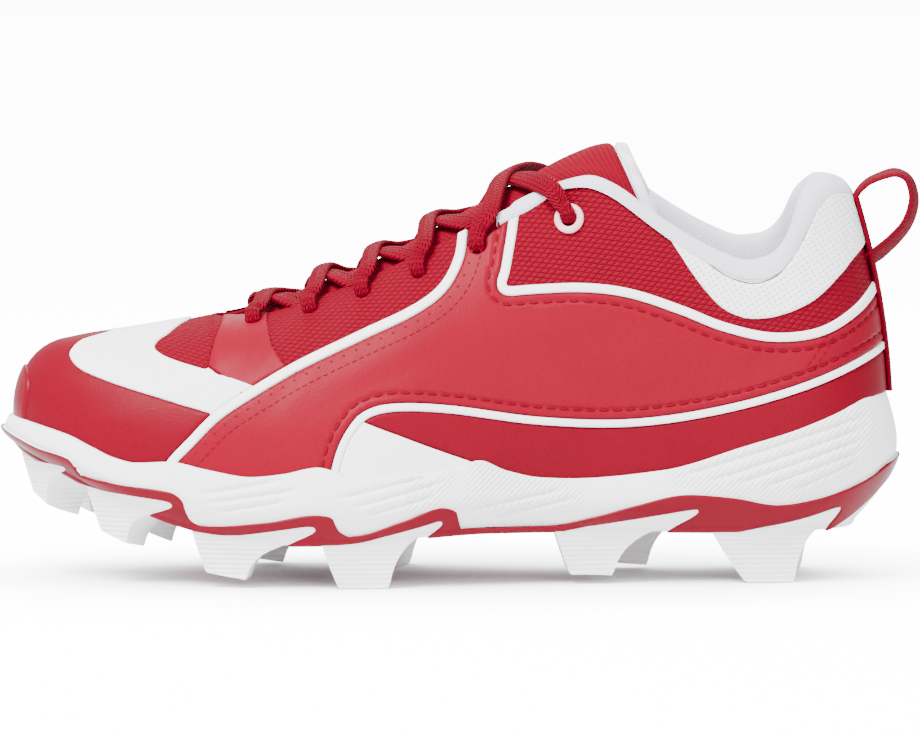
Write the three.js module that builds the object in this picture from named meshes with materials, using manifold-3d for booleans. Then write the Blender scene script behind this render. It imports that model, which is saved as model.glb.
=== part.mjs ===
import * as THREE from "three";
import { mergeVertices } from "three/addons/utils/BufferGeometryUtils.js";
import Module from "manifold-3d";

// A left baseball cleat with moulded studs. Millimetres, toe towards -X, outer side of the foot
// towards -Y, +Z up. The model is worked out with the toe tip at X = 0 and the ground at Z = 0,
// and the whole group is then centred on its box.

const wasm = await Module();
wasm.setup();

// Driving dimensions

const SOLE_LENGTH = 288;
const BALL_WIDTH = 97;
const STUD_HEIGHT = 15;
const SOLE_STACK = 24;
const INSTEP_HEIGHT = 110;
const HEEL_HEIGHT = 108;
const THROAT_WIDTH = 42;

// Walls, thicknesses and clearances

const GAP = 0.3;
const WALL = 2.2;
const RAND = 4.2;
const PLATE_FLOOR = 1.6;
const PLATE_WALL = 1.0;
const INSOLE_THICKNESS = 3.5;
const INSOLE_EDGE = 5;
const INSOLE_RISE = 1;
const TONGUE_THICKNESS = 4.5;
const COLLAR_PAD = 8;
const COLLAR_ROLL = 7.5;
const OVERLAY_THICKNESS = 0.9;
const WEBBING_WIDTH = 10;
const WEBBING_THICKNESS = 1.6;
const LOOP_REACH = 19.5;
const LACE_WIDTH = 6.2;
const LACE_THICKNESS = 2.2;
const EYELET_HOLE = 3.2;
const GROMMET_HOLE = 5.4;
const GROMMET_RIM = 9.6;
const GROMMET_THICKNESS = 1.1;
const LACE_PLAY = 2;
const STUD_DEPTH = 19;
const STUD_CLEARANCE = 0.45;
const STUD_SETBACK = 0.6;
const STUD_TAPER = 3;
const TONGUE_PLAY = 1;
const LINING_PLAY = 0.2;
const GROOVE_WIDTH = 1.3;
const GROOVE_DEPTH = 0.8;

const LATERAL = -1;
const MEDIAL = 1;

const COLOURS = {
  red: { color: 0xd7142e, roughness: 0.5, metalness: 0 },
  redRubber: { color: 0xc4112a, roughness: 0.35, metalness: 0 },
  redCloth: { color: 0xd01a30, roughness: 0.8, metalness: 0 },
  white: { color: 0xecedf0, roughness: 0.5, metalness: 0 },
  lining: { color: 0xdfe0ee, roughness: 0.9, metalness: 0 },
  eyelet: { color: 0xf0a8ad, roughness: 0.35, metalness: 0 },
};

// Tables. "at" is the share of the sole's length from the toe tip.

// Half widths of the sole as shares of the ball width, before the two ends are rounded off.
const PLAN = [
  { at: 0, lateral: 0.6, medial: 0.64 },
  { at: 0.06, lateral: 0.595, medial: 0.605 },
  { at: 0.12, lateral: 0.598, medial: 0.56 },
  { at: 0.2, lateral: 0.582, medial: 0.52 },
  { at: 0.28, lateral: 0.572, medial: 0.503 },
  { at: 0.36, lateral: 0.555, medial: 0.478 },
  { at: 0.44, lateral: 0.52, medial: 0.424 },
  { at: 0.52, lateral: 0.465, medial: 0.362 },
  { at: 0.6, lateral: 0.421, medial: 0.315 },
  { at: 0.68, lateral: 0.402, medial: 0.32 },
  { at: 0.76, lateral: 0.422, medial: 0.376 },
  { at: 0.84, lateral: 0.484, medial: 0.47 },
  { at: 0.9, lateral: 0.56, medial: 0.56 },
  { at: 0.95, lateral: 0.635, medial: 0.635 },
  { at: 1, lateral: 0.7, medial: 0.7 },
];

// Lower face of the sole, floor of its pocket and tips of the studs, as shares of the sole's
// stack over the lower face's lowest plane. The tips are shares of the stud height.
const BOTTOM = [
  { at: 0, face: 1.12, pocket: 1.37, tip: 2.1 },
  { at: 0.03, face: 0.96, pocket: 1.27, tip: 1.88 },
  { at: 0.06, face: 0.82, pocket: 1.14, tip: 1.5 },
  { at: 0.1, face: 0.6, pocket: 0.99, tip: 1.22 },
  { at: 0.14, face: 0.43, pocket: 0.84, tip: 0.9 },
  { at: 0.2, face: 0.17, pocket: 0.66, tip: 0.45 },
  { at: 0.26, face: 0.01, pocket: 0.55, tip: 0.22 },
  { at: 0.32, face: -0.05, pocket: 0.52, tip: 0.05 },
  { at: 0.37, face: -0.04, pocket: 0.53, tip: 0 },
  { at: 0.47, face: 0.04, pocket: 0.58, tip: 0 },
  { at: 0.55, face: 0.09, pocket: 0.64, tip: 0.12 },
  { at: 0.64, face: 0.09, pocket: 0.7, tip: 0.2 },
  { at: 0.72, face: 0.07, pocket: 0.75, tip: 0.12 },
  { at: 0.8, face: 0.06, pocket: 0.79, tip: 0 },
  { at: 0.91, face: 0.06, pocket: 0.83, tip: 0 },
  { at: 1, face: 0.06, pocket: 0.85, tip: 0 },
];

// How far the sole's side lies inside its widest outline, as shares of the ball width: at the
// foot of the side, and at the lip under the upper.
const SIDE = [
  { at: 0, foot: 0.045, lip: 0.012 },
  { at: 0.1, foot: 0.05, lip: 0.012 },
  { at: 0.5, foot: 0.05, lip: 0.014 },
  { at: 0.85, foot: 0.06, lip: 0.016 },
  { at: 0.95, foot: 0.11, lip: 0.03 },
  { at: 1, foot: 0.15, lip: 0.045 },
];

// The waved line where the upper leaves the midsole, as shares of the sole's stack.
const BITE = [
  { at: 0, height: 1.53 },
  { at: 0.072, height: 1.33 },
  { at: 0.099, height: 1.19 },
  { at: 0.125, height: 1.06 },
  { at: 0.15, height: 1 },
  { at: 0.19, height: 1.02 },
  { at: 0.23, height: 0.93 },
  { at: 0.28, height: 0.84 },
  { at: 0.355, height: 0.97 },
  { at: 0.4, height: 0.82 },
  { at: 0.507, height: 0.94 },
  { at: 0.533, height: 1.04 },
  { at: 0.563, height: 0.9 },
  { at: 0.64, height: 0.78 },
  { at: 0.735, height: 0.88 },
  { at: 0.823, height: 1.19 },
  { at: 0.938, height: 1.66 },
  { at: 0.973, height: 1.87 },
  { at: 1, height: 1.94 },
];

// The stepped upper edge of the outsole's side band, as shares of the sole's stack.
const BAND = [
  { at: 0, height: 1.4 },
  { at: 0.024, height: 1.27 },
  { at: 0.045, height: 1.16 },
  { at: 0.082, height: 1.04 },
  { at: 0.092, height: 0.83 },
  { at: 0.132, height: 0.74 },
  { at: 0.192, height: 0.66 },
  { at: 0.205, height: 0.58 },
  { at: 0.213, height: 0.3 },
  { at: 0.228, height: 0.2 },
  { at: 0.298, height: 0.27 },
  { at: 0.352, height: 0.37 },
  { at: 0.37, height: 0.34 },
  { at: 0.378, height: 0.16 },
  { at: 0.392, height: 0.08 },
  { at: 0.448, height: 0.28 },
  { at: 0.49, height: 0.45 },
  { at: 0.506, height: 0.4 },
  { at: 0.514, height: 0.17 },
  { at: 0.53, height: 0.16 },
  { at: 0.61, height: 0.17 },
  { at: 0.66, height: 0.29 },
  { at: 0.7, height: 0.43 },
  { at: 0.76, height: 0.58 },
  { at: 0.811, height: 0.53 },
  { at: 0.862, height: 0.43 },
  { at: 0.904, height: 0.5 },
  { at: 0.956, height: 0.72 },
  { at: 1, height: 1.03 },
];

// Slanted grooves pressed into the midsole's side: the two ends of each, with their heights as
// shares of the sole's stack.
const GROOVES = [
  { from: 0.225, low: 0.63, to: 0.31, high: 0.81 },
  { from: 0.381, low: 0.6, to: 0.494, high: 0.9 },
  { from: 0.516, low: 0.41, to: 0.61, high: 0.62 },
  { from: 0.753, low: 0.81, to: 0.955, high: 1.58 },
  { from: 0.784, low: 0.75, to: 0.955, high: 1.42 },
  { from: 0.83, low: 0.68, to: 0.95, high: 1.19 },
];

// Sections of the upper from the toe tip to the throat. "to" is the share of the length where
// the section's curve ends, on the ridge or on the throat's edge, "open" is the throat's half
// opening there as a share of the throat's width, "outer" and "inner" are the heights of the two
// ends as shares of the instep height.
const VAMP = [
  { at: 0, to: 0.08, open: 0, outer: 0.557, inner: 0.557 },
  { at: 0.02, to: 0.084, open: 0, outer: 0.56, inner: 0.56 },
  { at: 0.06, to: 0.1, open: 0, outer: 0.57, inner: 0.57 },
  { at: 0.12, to: 0.14, open: 0, outer: 0.585, inner: 0.585 },
  { at: 0.2, to: 0.202, open: 0, outer: 0.613, inner: 0.613 },
  { at: 0.232, to: 0.231, open: 0, outer: 0.628, inner: 0.628 },
  { at: 0.24, to: 0.235, open: 0.09, outer: 0.63, inner: 0.63 },
  { at: 0.252, to: 0.246, open: 0.18, outer: 0.627, inner: 0.63 },
  { at: 0.28, to: 0.277, open: 0.25, outer: 0.63, inner: 0.645 },
  { at: 0.34, to: 0.338, open: 0.32, outer: 0.675, inner: 0.69 },
  { at: 0.4, to: 0.4, open: 0.37, outer: 0.735, inner: 0.75 },
  { at: 0.46, to: 0.461, open: 0.4, outer: 0.81, inner: 0.825 },
  { at: 0.52, to: 0.522, open: 0.43, outer: 0.885, inner: 0.9 },
  { at: 0.58, to: 0.582, open: 0.47, outer: 0.965, inner: 0.985 },
  { at: 0.62, to: 0.622, open: 0.52, outer: 1, inner: 1.025 },
];

// Sections of the upper from the throat's top round the collar to the back of the heel. "open"
// is the collar's half opening as a share of the ball width, "outer" and "inner" are shares of
// the heel height.
const COLLAR = [
  { at: 0.65, to: 0.65, open: 0.258, outer: 1.028, inner: 1.06 },
  { at: 0.68, to: 0.68, open: 0.283, outer: 0.995, inner: 1.04 },
  { at: 0.71, to: 0.708, open: 0.3, outer: 0.94, inner: 0.99 },
  { at: 0.74, to: 0.739, open: 0.31, outer: 0.878, inner: 0.93 },
  { at: 0.77, to: 0.772, open: 0.315, outer: 0.822, inner: 0.875 },
  { at: 0.8, to: 0.801, open: 0.315, outer: 0.782, inner: 0.835 },
  { at: 0.83, to: 0.829, open: 0.308, outer: 0.757, inner: 0.81 },
  { at: 0.86, to: 0.856, open: 0.292, outer: 0.768, inner: 0.815 },
  { at: 0.885, to: 0.877, open: 0.272, outer: 0.825, inner: 0.855 },
  { at: 0.91, to: 0.893, open: 0.243, outer: 0.905, inner: 0.92 },
  { at: 0.935, to: 0.908, open: 0.2, outer: 0.972, inner: 0.975 },
  { at: 0.96, to: 0.925, open: 0.145, outer: 1.005, inner: 1.005 },
  { at: 0.985, to: 0.941, open: 0.075, outer: 1.002, inner: 1.002 },
  { at: 1, to: 0.948, open: 0, outer: 0.988, inner: 0.988 },
];

// How full each section is: "rise", "reach" and "drop" are its curve's two handles, as shares of
// the section's own height and width, and "belly" and "arch" swell its outer and its inner side,
// as shares of the ball width.
const FULLNESS = [
  { at: 0, rise: 0.6, belly: 0.02, arch: 0.02, reach: 0.68, drop: 0 },
  { at: 0.02, rise: 0.6, belly: 0.02, arch: 0.02, reach: 0.68, drop: 0 },
  { at: 0.06, rise: 0.6, belly: 0.018, arch: 0.018, reach: 0.66, drop: 0 },
  { at: 0.12, rise: 0.58, belly: 0.015, arch: 0.015, reach: 0.62, drop: 0 },
  { at: 0.2, rise: 0.56, belly: 0.012, arch: 0.012, reach: 0.58, drop: 0 },
  { at: 0.232, rise: 0.56, belly: 0.012, arch: 0.012, reach: 0.57, drop: 0 },
  { at: 0.24, rise: 0.56, belly: 0.012, arch: 0.012, reach: 0.56, drop: 0.01 },
  { at: 0.252, rise: 0.56, belly: 0.012, arch: 0.012, reach: 0.55, drop: 0.03 },
  { at: 0.28, rise: 0.55, belly: 0.012, arch: 0.012, reach: 0.53, drop: 0.05 },
  { at: 0.34, rise: 0.53, belly: 0.012, arch: 0.014, reach: 0.5, drop: 0.09 },
  { at: 0.4, rise: 0.5, belly: 0.012, arch: 0.018, reach: 0.47, drop: 0.12 },
  { at: 0.46, rise: 0.47, belly: 0.012, arch: 0.028, reach: 0.5, drop: 0.17 },
  { at: 0.52, rise: 0.44, belly: 0.014, arch: 0.04, reach: 0.52, drop: 0.22 },
  { at: 0.58, rise: 0.4, belly: 0.016, arch: 0.05, reach: 0.55, drop: 0.27 },
  { at: 0.62, rise: 0.38, belly: 0.018, arch: 0.05, reach: 0.55, drop: 0.3 },
  { at: 0.65, rise: 0.36, belly: 0.02, arch: 0.05, reach: 0.55, drop: 0.32 },
  { at: 0.68, rise: 0.34, belly: 0.022, arch: 0.05, reach: 0.5, drop: 0.34 },
  { at: 0.71, rise: 0.34, belly: 0.025, arch: 0.048, reach: 0.45, drop: 0.35 },
  { at: 0.74, rise: 0.34, belly: 0.028, arch: 0.045, reach: 0.4, drop: 0.35 },
  { at: 0.77, rise: 0.34, belly: 0.03, arch: 0.042, reach: 0.4, drop: 0.35 },
  { at: 0.8, rise: 0.34, belly: 0.032, arch: 0.04, reach: 0.4, drop: 0.35 },
  { at: 0.83, rise: 0.34, belly: 0.034, arch: 0.038, reach: 0.4, drop: 0.35 },
  { at: 0.86, rise: 0.34, belly: 0.034, arch: 0.036, reach: 0.45, drop: 0.35 },
  { at: 0.885, rise: 0.33, belly: 0.034, arch: 0.034, reach: 0.5, drop: 0.34 },
  { at: 0.91, rise: 0.32, belly: 0.032, arch: 0.032, reach: 0.55, drop: 0.34 },
  { at: 0.935, rise: 0.31, belly: 0.03, arch: 0.03, reach: 0.6, drop: 0.33 },
  { at: 0.96, rise: 0.3, belly: 0.027, arch: 0.027, reach: 0.65, drop: 0.33 },
  { at: 0.985, rise: 0.3, belly: 0.024, arch: 0.024, reach: 0.7, drop: 0.33 },
  { at: 1, rise: 0.3, belly: 0.023, arch: 0.023, reach: 0.74, drop: 0.33 },
];

// The tongue's crown, from inside the vamp to its free top: height as a share of the instep
// height, how far behind it its two edges lie, as a share of the length, and how far up the
// upper's section the arch starts.
const TONGUE = [
  { at: 0.21, crown: 0.562, sweep: 0, rim: 0.84 },
  { at: 0.24, crown: 0.582, sweep: 0.002, rim: 0.88 },
  { at: 0.27, crown: 0.617, sweep: 0.006, rim: 0.97 },
  { at: 0.33, crown: 0.7, sweep: 0.01, rim: 1 },
  { at: 0.4, crown: 0.77, sweep: 0.015, rim: 1 },
  { at: 0.46, crown: 0.85, sweep: 0.02, rim: 1 },
  { at: 0.51, crown: 0.925, sweep: 0.026, rim: 1 },
  { at: 0.56, crown: 0.998, sweep: 0.032, rim: 1 },
  { at: 0.6, crown: 1.055, sweep: 0.036, rim: 1 },
  { at: 0.635, crown: 1.102, sweep: 0.038, rim: 1 },
  { at: 0.664, crown: 1.13, sweep: 0.038, rim: 1 },
  { at: 0.684, crown: 1.138, sweep: 0.038, rim: 1 },
];

// The padded collar lining: its thickness and the height of its roll above the upper's edge, as
// shares of the pad's and the roll's greatest size.
const LINING = [
  { at: 0.56, pad: 0, roll: 0 },
  { at: 0.58, pad: 0.1, roll: 0.2 },
  { at: 0.6, pad: 0.18, roll: 0.32 },
  { at: 0.65, pad: 0.36, roll: 0.55 },
  { at: 0.74, pad: 0.55, roll: 0.72 },
  { at: 0.83, pad: 0.7, roll: 0.85 },
  { at: 0.9, pad: 0.88, roll: 1 },
  { at: 1, pad: 1, roll: 1 },
];

// Rows of eyelets: place along the throat and how far up the section's curve they lie.
const EYELETS = [
  { at: 0.283, up: 0.9 },
  { at: 0.346, up: 0.88 },
  { at: 0.403, up: 0.875 },
  { at: 0.464, up: 0.87 },
  { at: 0.529, up: 0.885 },
  { at: 0.63, up: 0.89 },
];

// Studs: shares of the length for the root and the tip, how far the inner row stands behind the
// outer row, and how deep each scoop at the rear is, as a share of the stud's own length.
const STUDS = [
  { name: "toe", front: 0.006, rear: 0.058, tipFront: 0.014, tipRear: 0.034, stagger: 0.038, scoop: 0.25 },
  { name: "front", front: 0.09, rear: 0.168, tipFront: 0.102, tipRear: 0.134, stagger: 0.038, scoop: 0.25 },
  { name: "ball_front", front: 0.212, rear: 0.32, tipFront: 0.226, tipRear: 0.272, stagger: 0.036, scoop: 0.28 },
  { name: "ball_rear", front: 0.358, rear: 0.468, tipFront: 0.378, tipRear: 0.436, stagger: 0.024, scoop: 0.28 },
  { name: "heel_front", front: 0.617, rear: 0.726, tipFront: 0.636, tipRear: 0.682, stagger: 0.038, scoop: 0.28 },
  { name: "heel_rear", front: 0.787, rear: 0.912, tipFront: 0.827, tipRear: 0.885, stagger: 0.022, scoop: 0.3 },
];

// Reading a table

function column(rows, name) {
  const x = rows.map((row) => row.at);
  const y = rows.map((row) => row[name]);
  const slopes = x.slice(1).map((value, i) => (y[i + 1] - y[i]) / (value - x[i]));
  const tangents = x.map((value, i) => {
    const before = slopes[Math.max(i - 1, 0)];
    const after = slopes[Math.min(i, slopes.length - 1)];
    return before * after <= 0 ? 0 : (2 * before * after) / (before + after);
  });
  return (at) => {
    const share = Math.min(Math.max(at, x[0]), x[x.length - 1]);
    let i = 0;
    while (i < x.length - 2 && share > x[i + 1]) i += 1;
    const step = x[i + 1] - x[i];
    const u = (share - x[i]) / step;
    const start = (1 + 2 * u) * (1 - u) * (1 - u) * y[i] + u * (1 - u) * (1 - u) * step * tangents[i];
    const end = u * u * (3 - 2 * u) * y[i + 1] + u * u * (u - 1) * step * tangents[i + 1];
    return start + end;
  };
}

// Lengths and heights from the tables' shares

const along = (share) => share * SOLE_LENGTH;
const overStuds = (share) => STUD_HEIGHT + share * INSTEP_HEIGHT;
const drawn = (points) => points.map(([at, height]) => [along(at), overStuds(height)]);
const stack = (rows, name) => {
  const share = column(rows, name);
  return (at) => STUD_HEIGHT + SOLE_STACK * share(at);
};
const soleFace = stack(BOTTOM, "face");
const pocketFloor = stack(BOTTOM, "pocket");
const biteLine = stack(BITE, "height");
const bandLine = stack(BAND, "height");
const tipShare = column(BOTTOM, "tip");
const tipHeight = (at) => STUD_HEIGHT * tipShare(at);

// Plan outline of the sole

const planWidth = { [LATERAL]: column(PLAN, "lateral"), [MEDIAL]: column(PLAN, "medial") };
const turn = (at) => Math.acos(1 - 2 * Math.min(Math.max(at, 0), 1));

function planPoint(angle, side) {
  const at = (1 - Math.cos(angle)) / 2;
  const half = planWidth[side](at) * BALL_WIDTH * Math.sin(angle);
  return new THREE.Vector3(along(at), side * half, 0);
}

function planNormal(at, side) {
  const step = 0.01;
  const angle = turn(at);
  if (angle < step) return new THREE.Vector3(-1, 0, 0);
  if (angle > Math.PI - step) return new THREE.Vector3(1, 0, 0);
  const edge = planPoint(angle + step, side).sub(planPoint(angle - step, side));
  return new THREE.Vector3(side * -edge.y, side * edge.x, 0).normalize();
}

function outline(at, side, inset, height) {
  const point = planPoint(turn(at), side).addScaledVector(planNormal(at, side), -inset);
  point.z = height;
  return point;
}

// Stations from the toe tip to the back of the heel, close together where the ends are round

function stations(count, extra = []) {
  const even = Array.from({ length: count + 1 }, (_, i) => {
    const u = i / count;
    return (1 - Math.cos(Math.PI * u)) / 2;
  });
  const all = [...even, ...extra].sort((a, b) => a - b);
  const apart = (a, b) => Math.abs(turn(a) - turn(b)) > 0.3 * Math.PI / count;
  const kept = [];
  all.forEach((at) => {
    const last = kept[kept.length - 1];
    if (kept.length === 0 || apart(at, last)) kept.push(at);
    else if (extra.includes(at)) kept[kept.length - 1] = last === 0 ? 0 : at;
  });
  if (kept[kept.length - 1] < 1) kept[kept.length - 1] = 1;
  return kept;
}

// A ring runs from the toe tip along the outer side to the heel and back along the inner side

function ring(list, place) {
  const outer = list.map((at) => place(at, LATERAL));
  const inner = list.slice(1, -1).reverse().map((at) => place(at, MEDIAL));
  return [...outer, ...inner];
}

function mesher() {
  const corners = [];
  const triangle = (a, b, c) => corners.push(a, b, c);
  const quad = (a, b, c, d) => {
    triangle(a, b, c);
    triangle(a, c, d);
  };
  const wall = (lower, upper) => lower.forEach((point, i) => {
    const next = (i + 1) % lower.length;
    quad(point, lower[next], upper[next], upper[i]);
  });
  const lining = (lower, upper) => lower.forEach((point, i) => {
    const next = (i + 1) % lower.length;
    triangle(point, upper[next], lower[next]);
    triangle(point, upper[i], upper[next]);
  });
  const cap = (loop, up) => {
    const half = loop.length / 2;
    for (let i = 0; i < half; i += 1) {
      const a = loop[i];
      const b = loop[i + 1];
      const c = loop[(loop.length - i - 1) % loop.length];
      const d = loop[(loop.length - i) % loop.length];
      const order = up ? [a, b, c, d] : [d, c, b, a];
      if (i === 0) triangle(...(up ? [a, b, c] : [c, b, a]));
      else if (i === half - 1) triangle(...(up ? [a, b, d] : [d, b, a]));
      else quad(...order);
    }
  };
  return { corners, triangle, quad, wall, lining, cap };
}

function geometryOf(corners) {
  const geometry = new THREE.BufferGeometry();
  const flat = corners.flatMap((point) => [point.x, point.y, point.z]);
  geometry.setAttribute("position", new THREE.Float32BufferAttribute(flat, 3));
  return geometry;
}

function ringStack(rings) {
  const { corners, wall, cap } = mesher();
  cap(rings[0], false);
  rings.slice(1).forEach((upper, i) => wall(rings[i], upper));
  cap(rings[rings.length - 1], true);
  return geometryOf(corners);
}

// Joining and cutting

const WELD = 1e-3;

function solid(geometry) {
  const bare = geometry.index ? geometry.toNonIndexed() : geometry.clone();
  bare.deleteAttribute("normal");
  bare.deleteAttribute("uv");
  const merged = mergeVertices(bare, WELD);
  const index = [];
  for (let i = 0; i < merged.index.count; i += 3) {
    const [a, b, c] = [0, 1, 2].map((k) => merged.index.getX(i + k));
    if (a !== b && b !== c && c !== a) index.push(a, b, c);
  }
  const mesh = new wasm.Mesh({
    numProp: 3,
    vertProperties: new Float32Array(merged.attributes.position.array),
    triVerts: new Uint32Array(index),
  });
  return new wasm.Manifold(mesh);
}

function geometryFrom(body) {
  const mesh = body.getMesh();
  const geometry = new THREE.BufferGeometry();
  geometry.setAttribute("position", new THREE.BufferAttribute(new Float32Array(mesh.vertProperties), 3));
  geometry.setIndex(new THREE.BufferAttribute(new Uint32Array(mesh.triVerts), 1));
  return geometry.toNonIndexed();
}

// A prism whose outline is drawn in the side view, from one depth to another
function sidePrism(points, from, to) {
  const shape = new THREE.Shape(points.map(([x, z]) => new THREE.Vector2(x, z)));
  const geometry = new THREE.ExtrudeGeometry(shape, { depth: to - from, bevelEnabled: false });
  geometry.rotateX(Math.PI / 2);
  geometry.translate(0, to, 0);
  return solid(geometry);
}

// The upper's own surface

const UPPER_ROWS = [
  ...VAMP.map((row) => ({
    ...row,
    open: row.open * THROAT_WIDTH,
    outer: row.outer * INSTEP_HEIGHT,
    inner: row.inner * INSTEP_HEIGHT,
  })),
  ...COLLAR.map((row) => ({
    ...row,
    open: row.open * BALL_WIDTH,
    outer: row.outer * HEEL_HEIGHT,
    inner: row.inner * HEEL_HEIGHT,
  })),
];
const columns = (rows, names) => names.map((name) => [name, column(rows, name)]);
const section = Object.fromEntries([
  ...columns(UPPER_ROWS, ["to", "open", "outer", "inner"]),
  ...columns(FULLNESS, ["rise", "belly", "arch", "reach", "drop"]),
]);
const RIDGE_END = VAMP.findLast((row) => row.open === 0).at;
const THROAT_TOP = VAMP[VAMP.length - 1].at;
const onRidge = (at) => at <= RIDGE_END;

// The ridge leans a little towards the inner side at the toe
const ridgeLean = (at) => BALL_WIDTH * 0.02 * Math.max(0, 1 - at / 0.4);

function sectionCurve(at, side) {
  const start = outline(at, side, RAND, pocketFloor(at) + GAP);
  const open = onRidge(at) ? 0 : section.open(at);
  const height = side === LATERAL ? section.outer(at) : section.inner(at);
  const end = new THREE.Vector3(along(section.to(at)), side * open + ridgeLean(at), STUD_HEIGHT + height);
  const rise = end.z - start.z;
  const swell = BALL_WIDTH * (side === LATERAL ? section.belly(at) : section.arch(at));
  const normal = planNormal(at, side);
  const first = start.clone().addScaledVector(normal, swell);
  first.z += section.rise(at) * rise;
  const second = end.clone().lerp(start, section.reach(at)).addScaledVector(normal, swell * section.drop(at));
  second.z = end.z - section.drop(at) * rise;
  return new THREE.CubicBezierCurve3(start, first, second, end);
}

function skinPoint(at, side, up) {
  return sectionCurve(at, side).getPoint(up);
}

const across = (at, up) => skinPoint(at, MEDIAL, up).sub(skinPoint(at, LATERAL, up));

function skinNormal(at, side, up) {
  const step = 0.002;
  if (onRidge(at) && up === 1) {
    const ahead = skinPoint(Math.max(at - step, 0), side, 1);
    const ridge = skinPoint(Math.max(at, step) + step, side, 1).sub(ahead);
    return new THREE.Vector3(-ridge.z, 0, ridge.x).normalize();
  }
  const low = Math.max(up - step, 0);
  const high = Math.min(up + step, 1);
  const climb = skinPoint(at, side, high).sub(skinPoint(at, side, low));
  let heelward;
  if (at < step) heelward = across(step, up).multiplyScalar(side);
  else if (at > 1 - step) heelward = across(1 - step, up).multiplyScalar(-side);
  else heelward = skinPoint(at + step, side, up).sub(skinPoint(at - step, side, up));
  return heelward.cross(climb).multiplyScalar(-side).normalize();
}

function skin(at, side, up, offset) {
  const point = skinPoint(at, side, up).addScaledVector(skinNormal(at, side, up), offset);
  if (at === 0 || at === 1) point.y = skinPoint(at, side, up).y;
  return point;
}

const throatStart = VAMP.filter((row) => row.open > 0).slice(0, 2);
const topRow = EYELETS[EYELETS.length - 1];
const UPPER_STATIONS = stations(24, [RIDGE_END, ...[...BITE, ...throatStart, topRow].map((row) => row.at)]);
const UPPER_LEVELS = [0, 0.12, 0.26, 0.42, 0.58, 0.74, 0.88, 1];

// A closed shell between two offsets of the upper's surface, open underneath and at the top
function shell(low, high, levels = UPPER_LEVELS) {
  const { corners, wall, lining, quad } = mesher();
  const loops = (offset) => levels.map((up) => ring(UPPER_STATIONS, (at, side) => skin(at, side, up, offset)));
  const outside = loops(high);
  const inside = loops(low);
  outside.slice(1).forEach((upper, i) => wall(outside[i], upper));
  inside.slice(1).forEach((upper, i) => lining(inside[i], upper));
  wall(inside[0], outside[0]);
  const rim = levels.length - 1;
  const ridgeCount = UPPER_STATIONS.filter((at) => onRidge(at)).length;
  const total = outside[rim].length;
  for (let i = ridgeCount - 1; i < total - ridgeCount + 1; i += 1) {
    const next = i + 1;
    quad(outside[rim][i], outside[rim][next], inside[rim][next], inside[rim][i]);
  }
  return geometryOf(corners);
}

const group = new THREE.Group();
const assembly = new THREE.Group();
group.add(assembly);

function add(name, geometry, finish) {
  const mesh = new THREE.Mesh(geometry, new THREE.MeshStandardMaterial(COLOURS[finish]));
  mesh.name = name;
  assembly.add(mesh);
}

// Holes for the laces, square to the upper's surface

const HOLE_SIDES = 6;
const RING_SIDES = 14;

function pointedAlong(geometry, place, normal) {
  geometry.applyQuaternion(new THREE.Quaternion().setFromUnitVectors(new THREE.Vector3(0, 1, 0), normal));
  geometry.translate(place.x, place.y, place.z);
  return geometry;
}

function drill(row, side, radius, sides) {
  const reach = 2 * WALL;
  const profile = [[0, -reach], [radius, -reach], [radius, reach], [0, reach]];
  const bit = new THREE.LatheGeometry(profile.map(([x, y]) => new THREE.Vector2(x, y)), sides);
  return solid(pointedAlong(bit, skin(row.at, side, row.up, 0), skinNormal(row.at, side, row.up)));
}

function laceHole(row, side) {
  return drill(row, side, (row === topRow ? GROMMET_HOLE : EYELET_HOLE) / 2, HOLE_SIDES);
}

const laceHoles = EYELETS
  .flatMap((row) => [laceHole(row, LATERAL), laceHole(row, MEDIAL)])
  .reduce((all, hole) => all.add(hole));

// Upper

add("upper", geometryFrom(solid(shell(-WALL, 0)).subtract(laceHoles)), "red");

// Midsole

function heightOnSkin(at, side, height) {
  let low = 0;
  let high = 1;
  for (let i = 0; i < 24; i += 1) {
    const middle = (low + high) / 2;
    if (skinPoint(at, side, middle).z < height) low = middle;
    else high = middle;
  }
  return (low + high) / 2;
}

const footInset = column(SIDE, "foot");
const lipInset = column(SIDE, "lip");

function sideInset(at, level) {
  const foot = BALL_WIDTH * footInset(at) * Math.max(0, 1 - level / 0.55) ** 1.6;
  const lip = BALL_WIDTH * lipInset(at) * Math.max(0, (level - 0.6) / 0.4) ** 1.5;
  return foot + lip;
}

const SIDE_LEVELS = [0, 0.18, 0.45, 0.75, 1];
const FAR = BALL_WIDTH;
const midsoleBase = (at) => soleFace(at) + PLATE_FLOOR + GAP;

// Rings up the side of the sole, a given distance outside the midsole's own side
function sideRings(out) {
  return SIDE_LEVELS.map((level) => ring(UPPER_STATIONS, (at, side) => {
    const height = midsoleBase(at) + level * (biteLine(at) - midsoleBase(at));
    return outline(at, side, sideInset(at, level) - out, height);
  }));
}

function midsole() {
  const pocket = (share) => ring(UPPER_STATIONS, (at, side) => {
    const top = heightOnSkin(at, side, biteLine(at));
    const point = skin(at, side, top * share, GAP);
    point.z = share === 0 ? pocketFloor(at) : point.z;
    return point;
  });
  return solid(ringStack([...sideRings(0), pocket(1), pocket(0.5), pocket(0)])).subtract(grooves());
}

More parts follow.
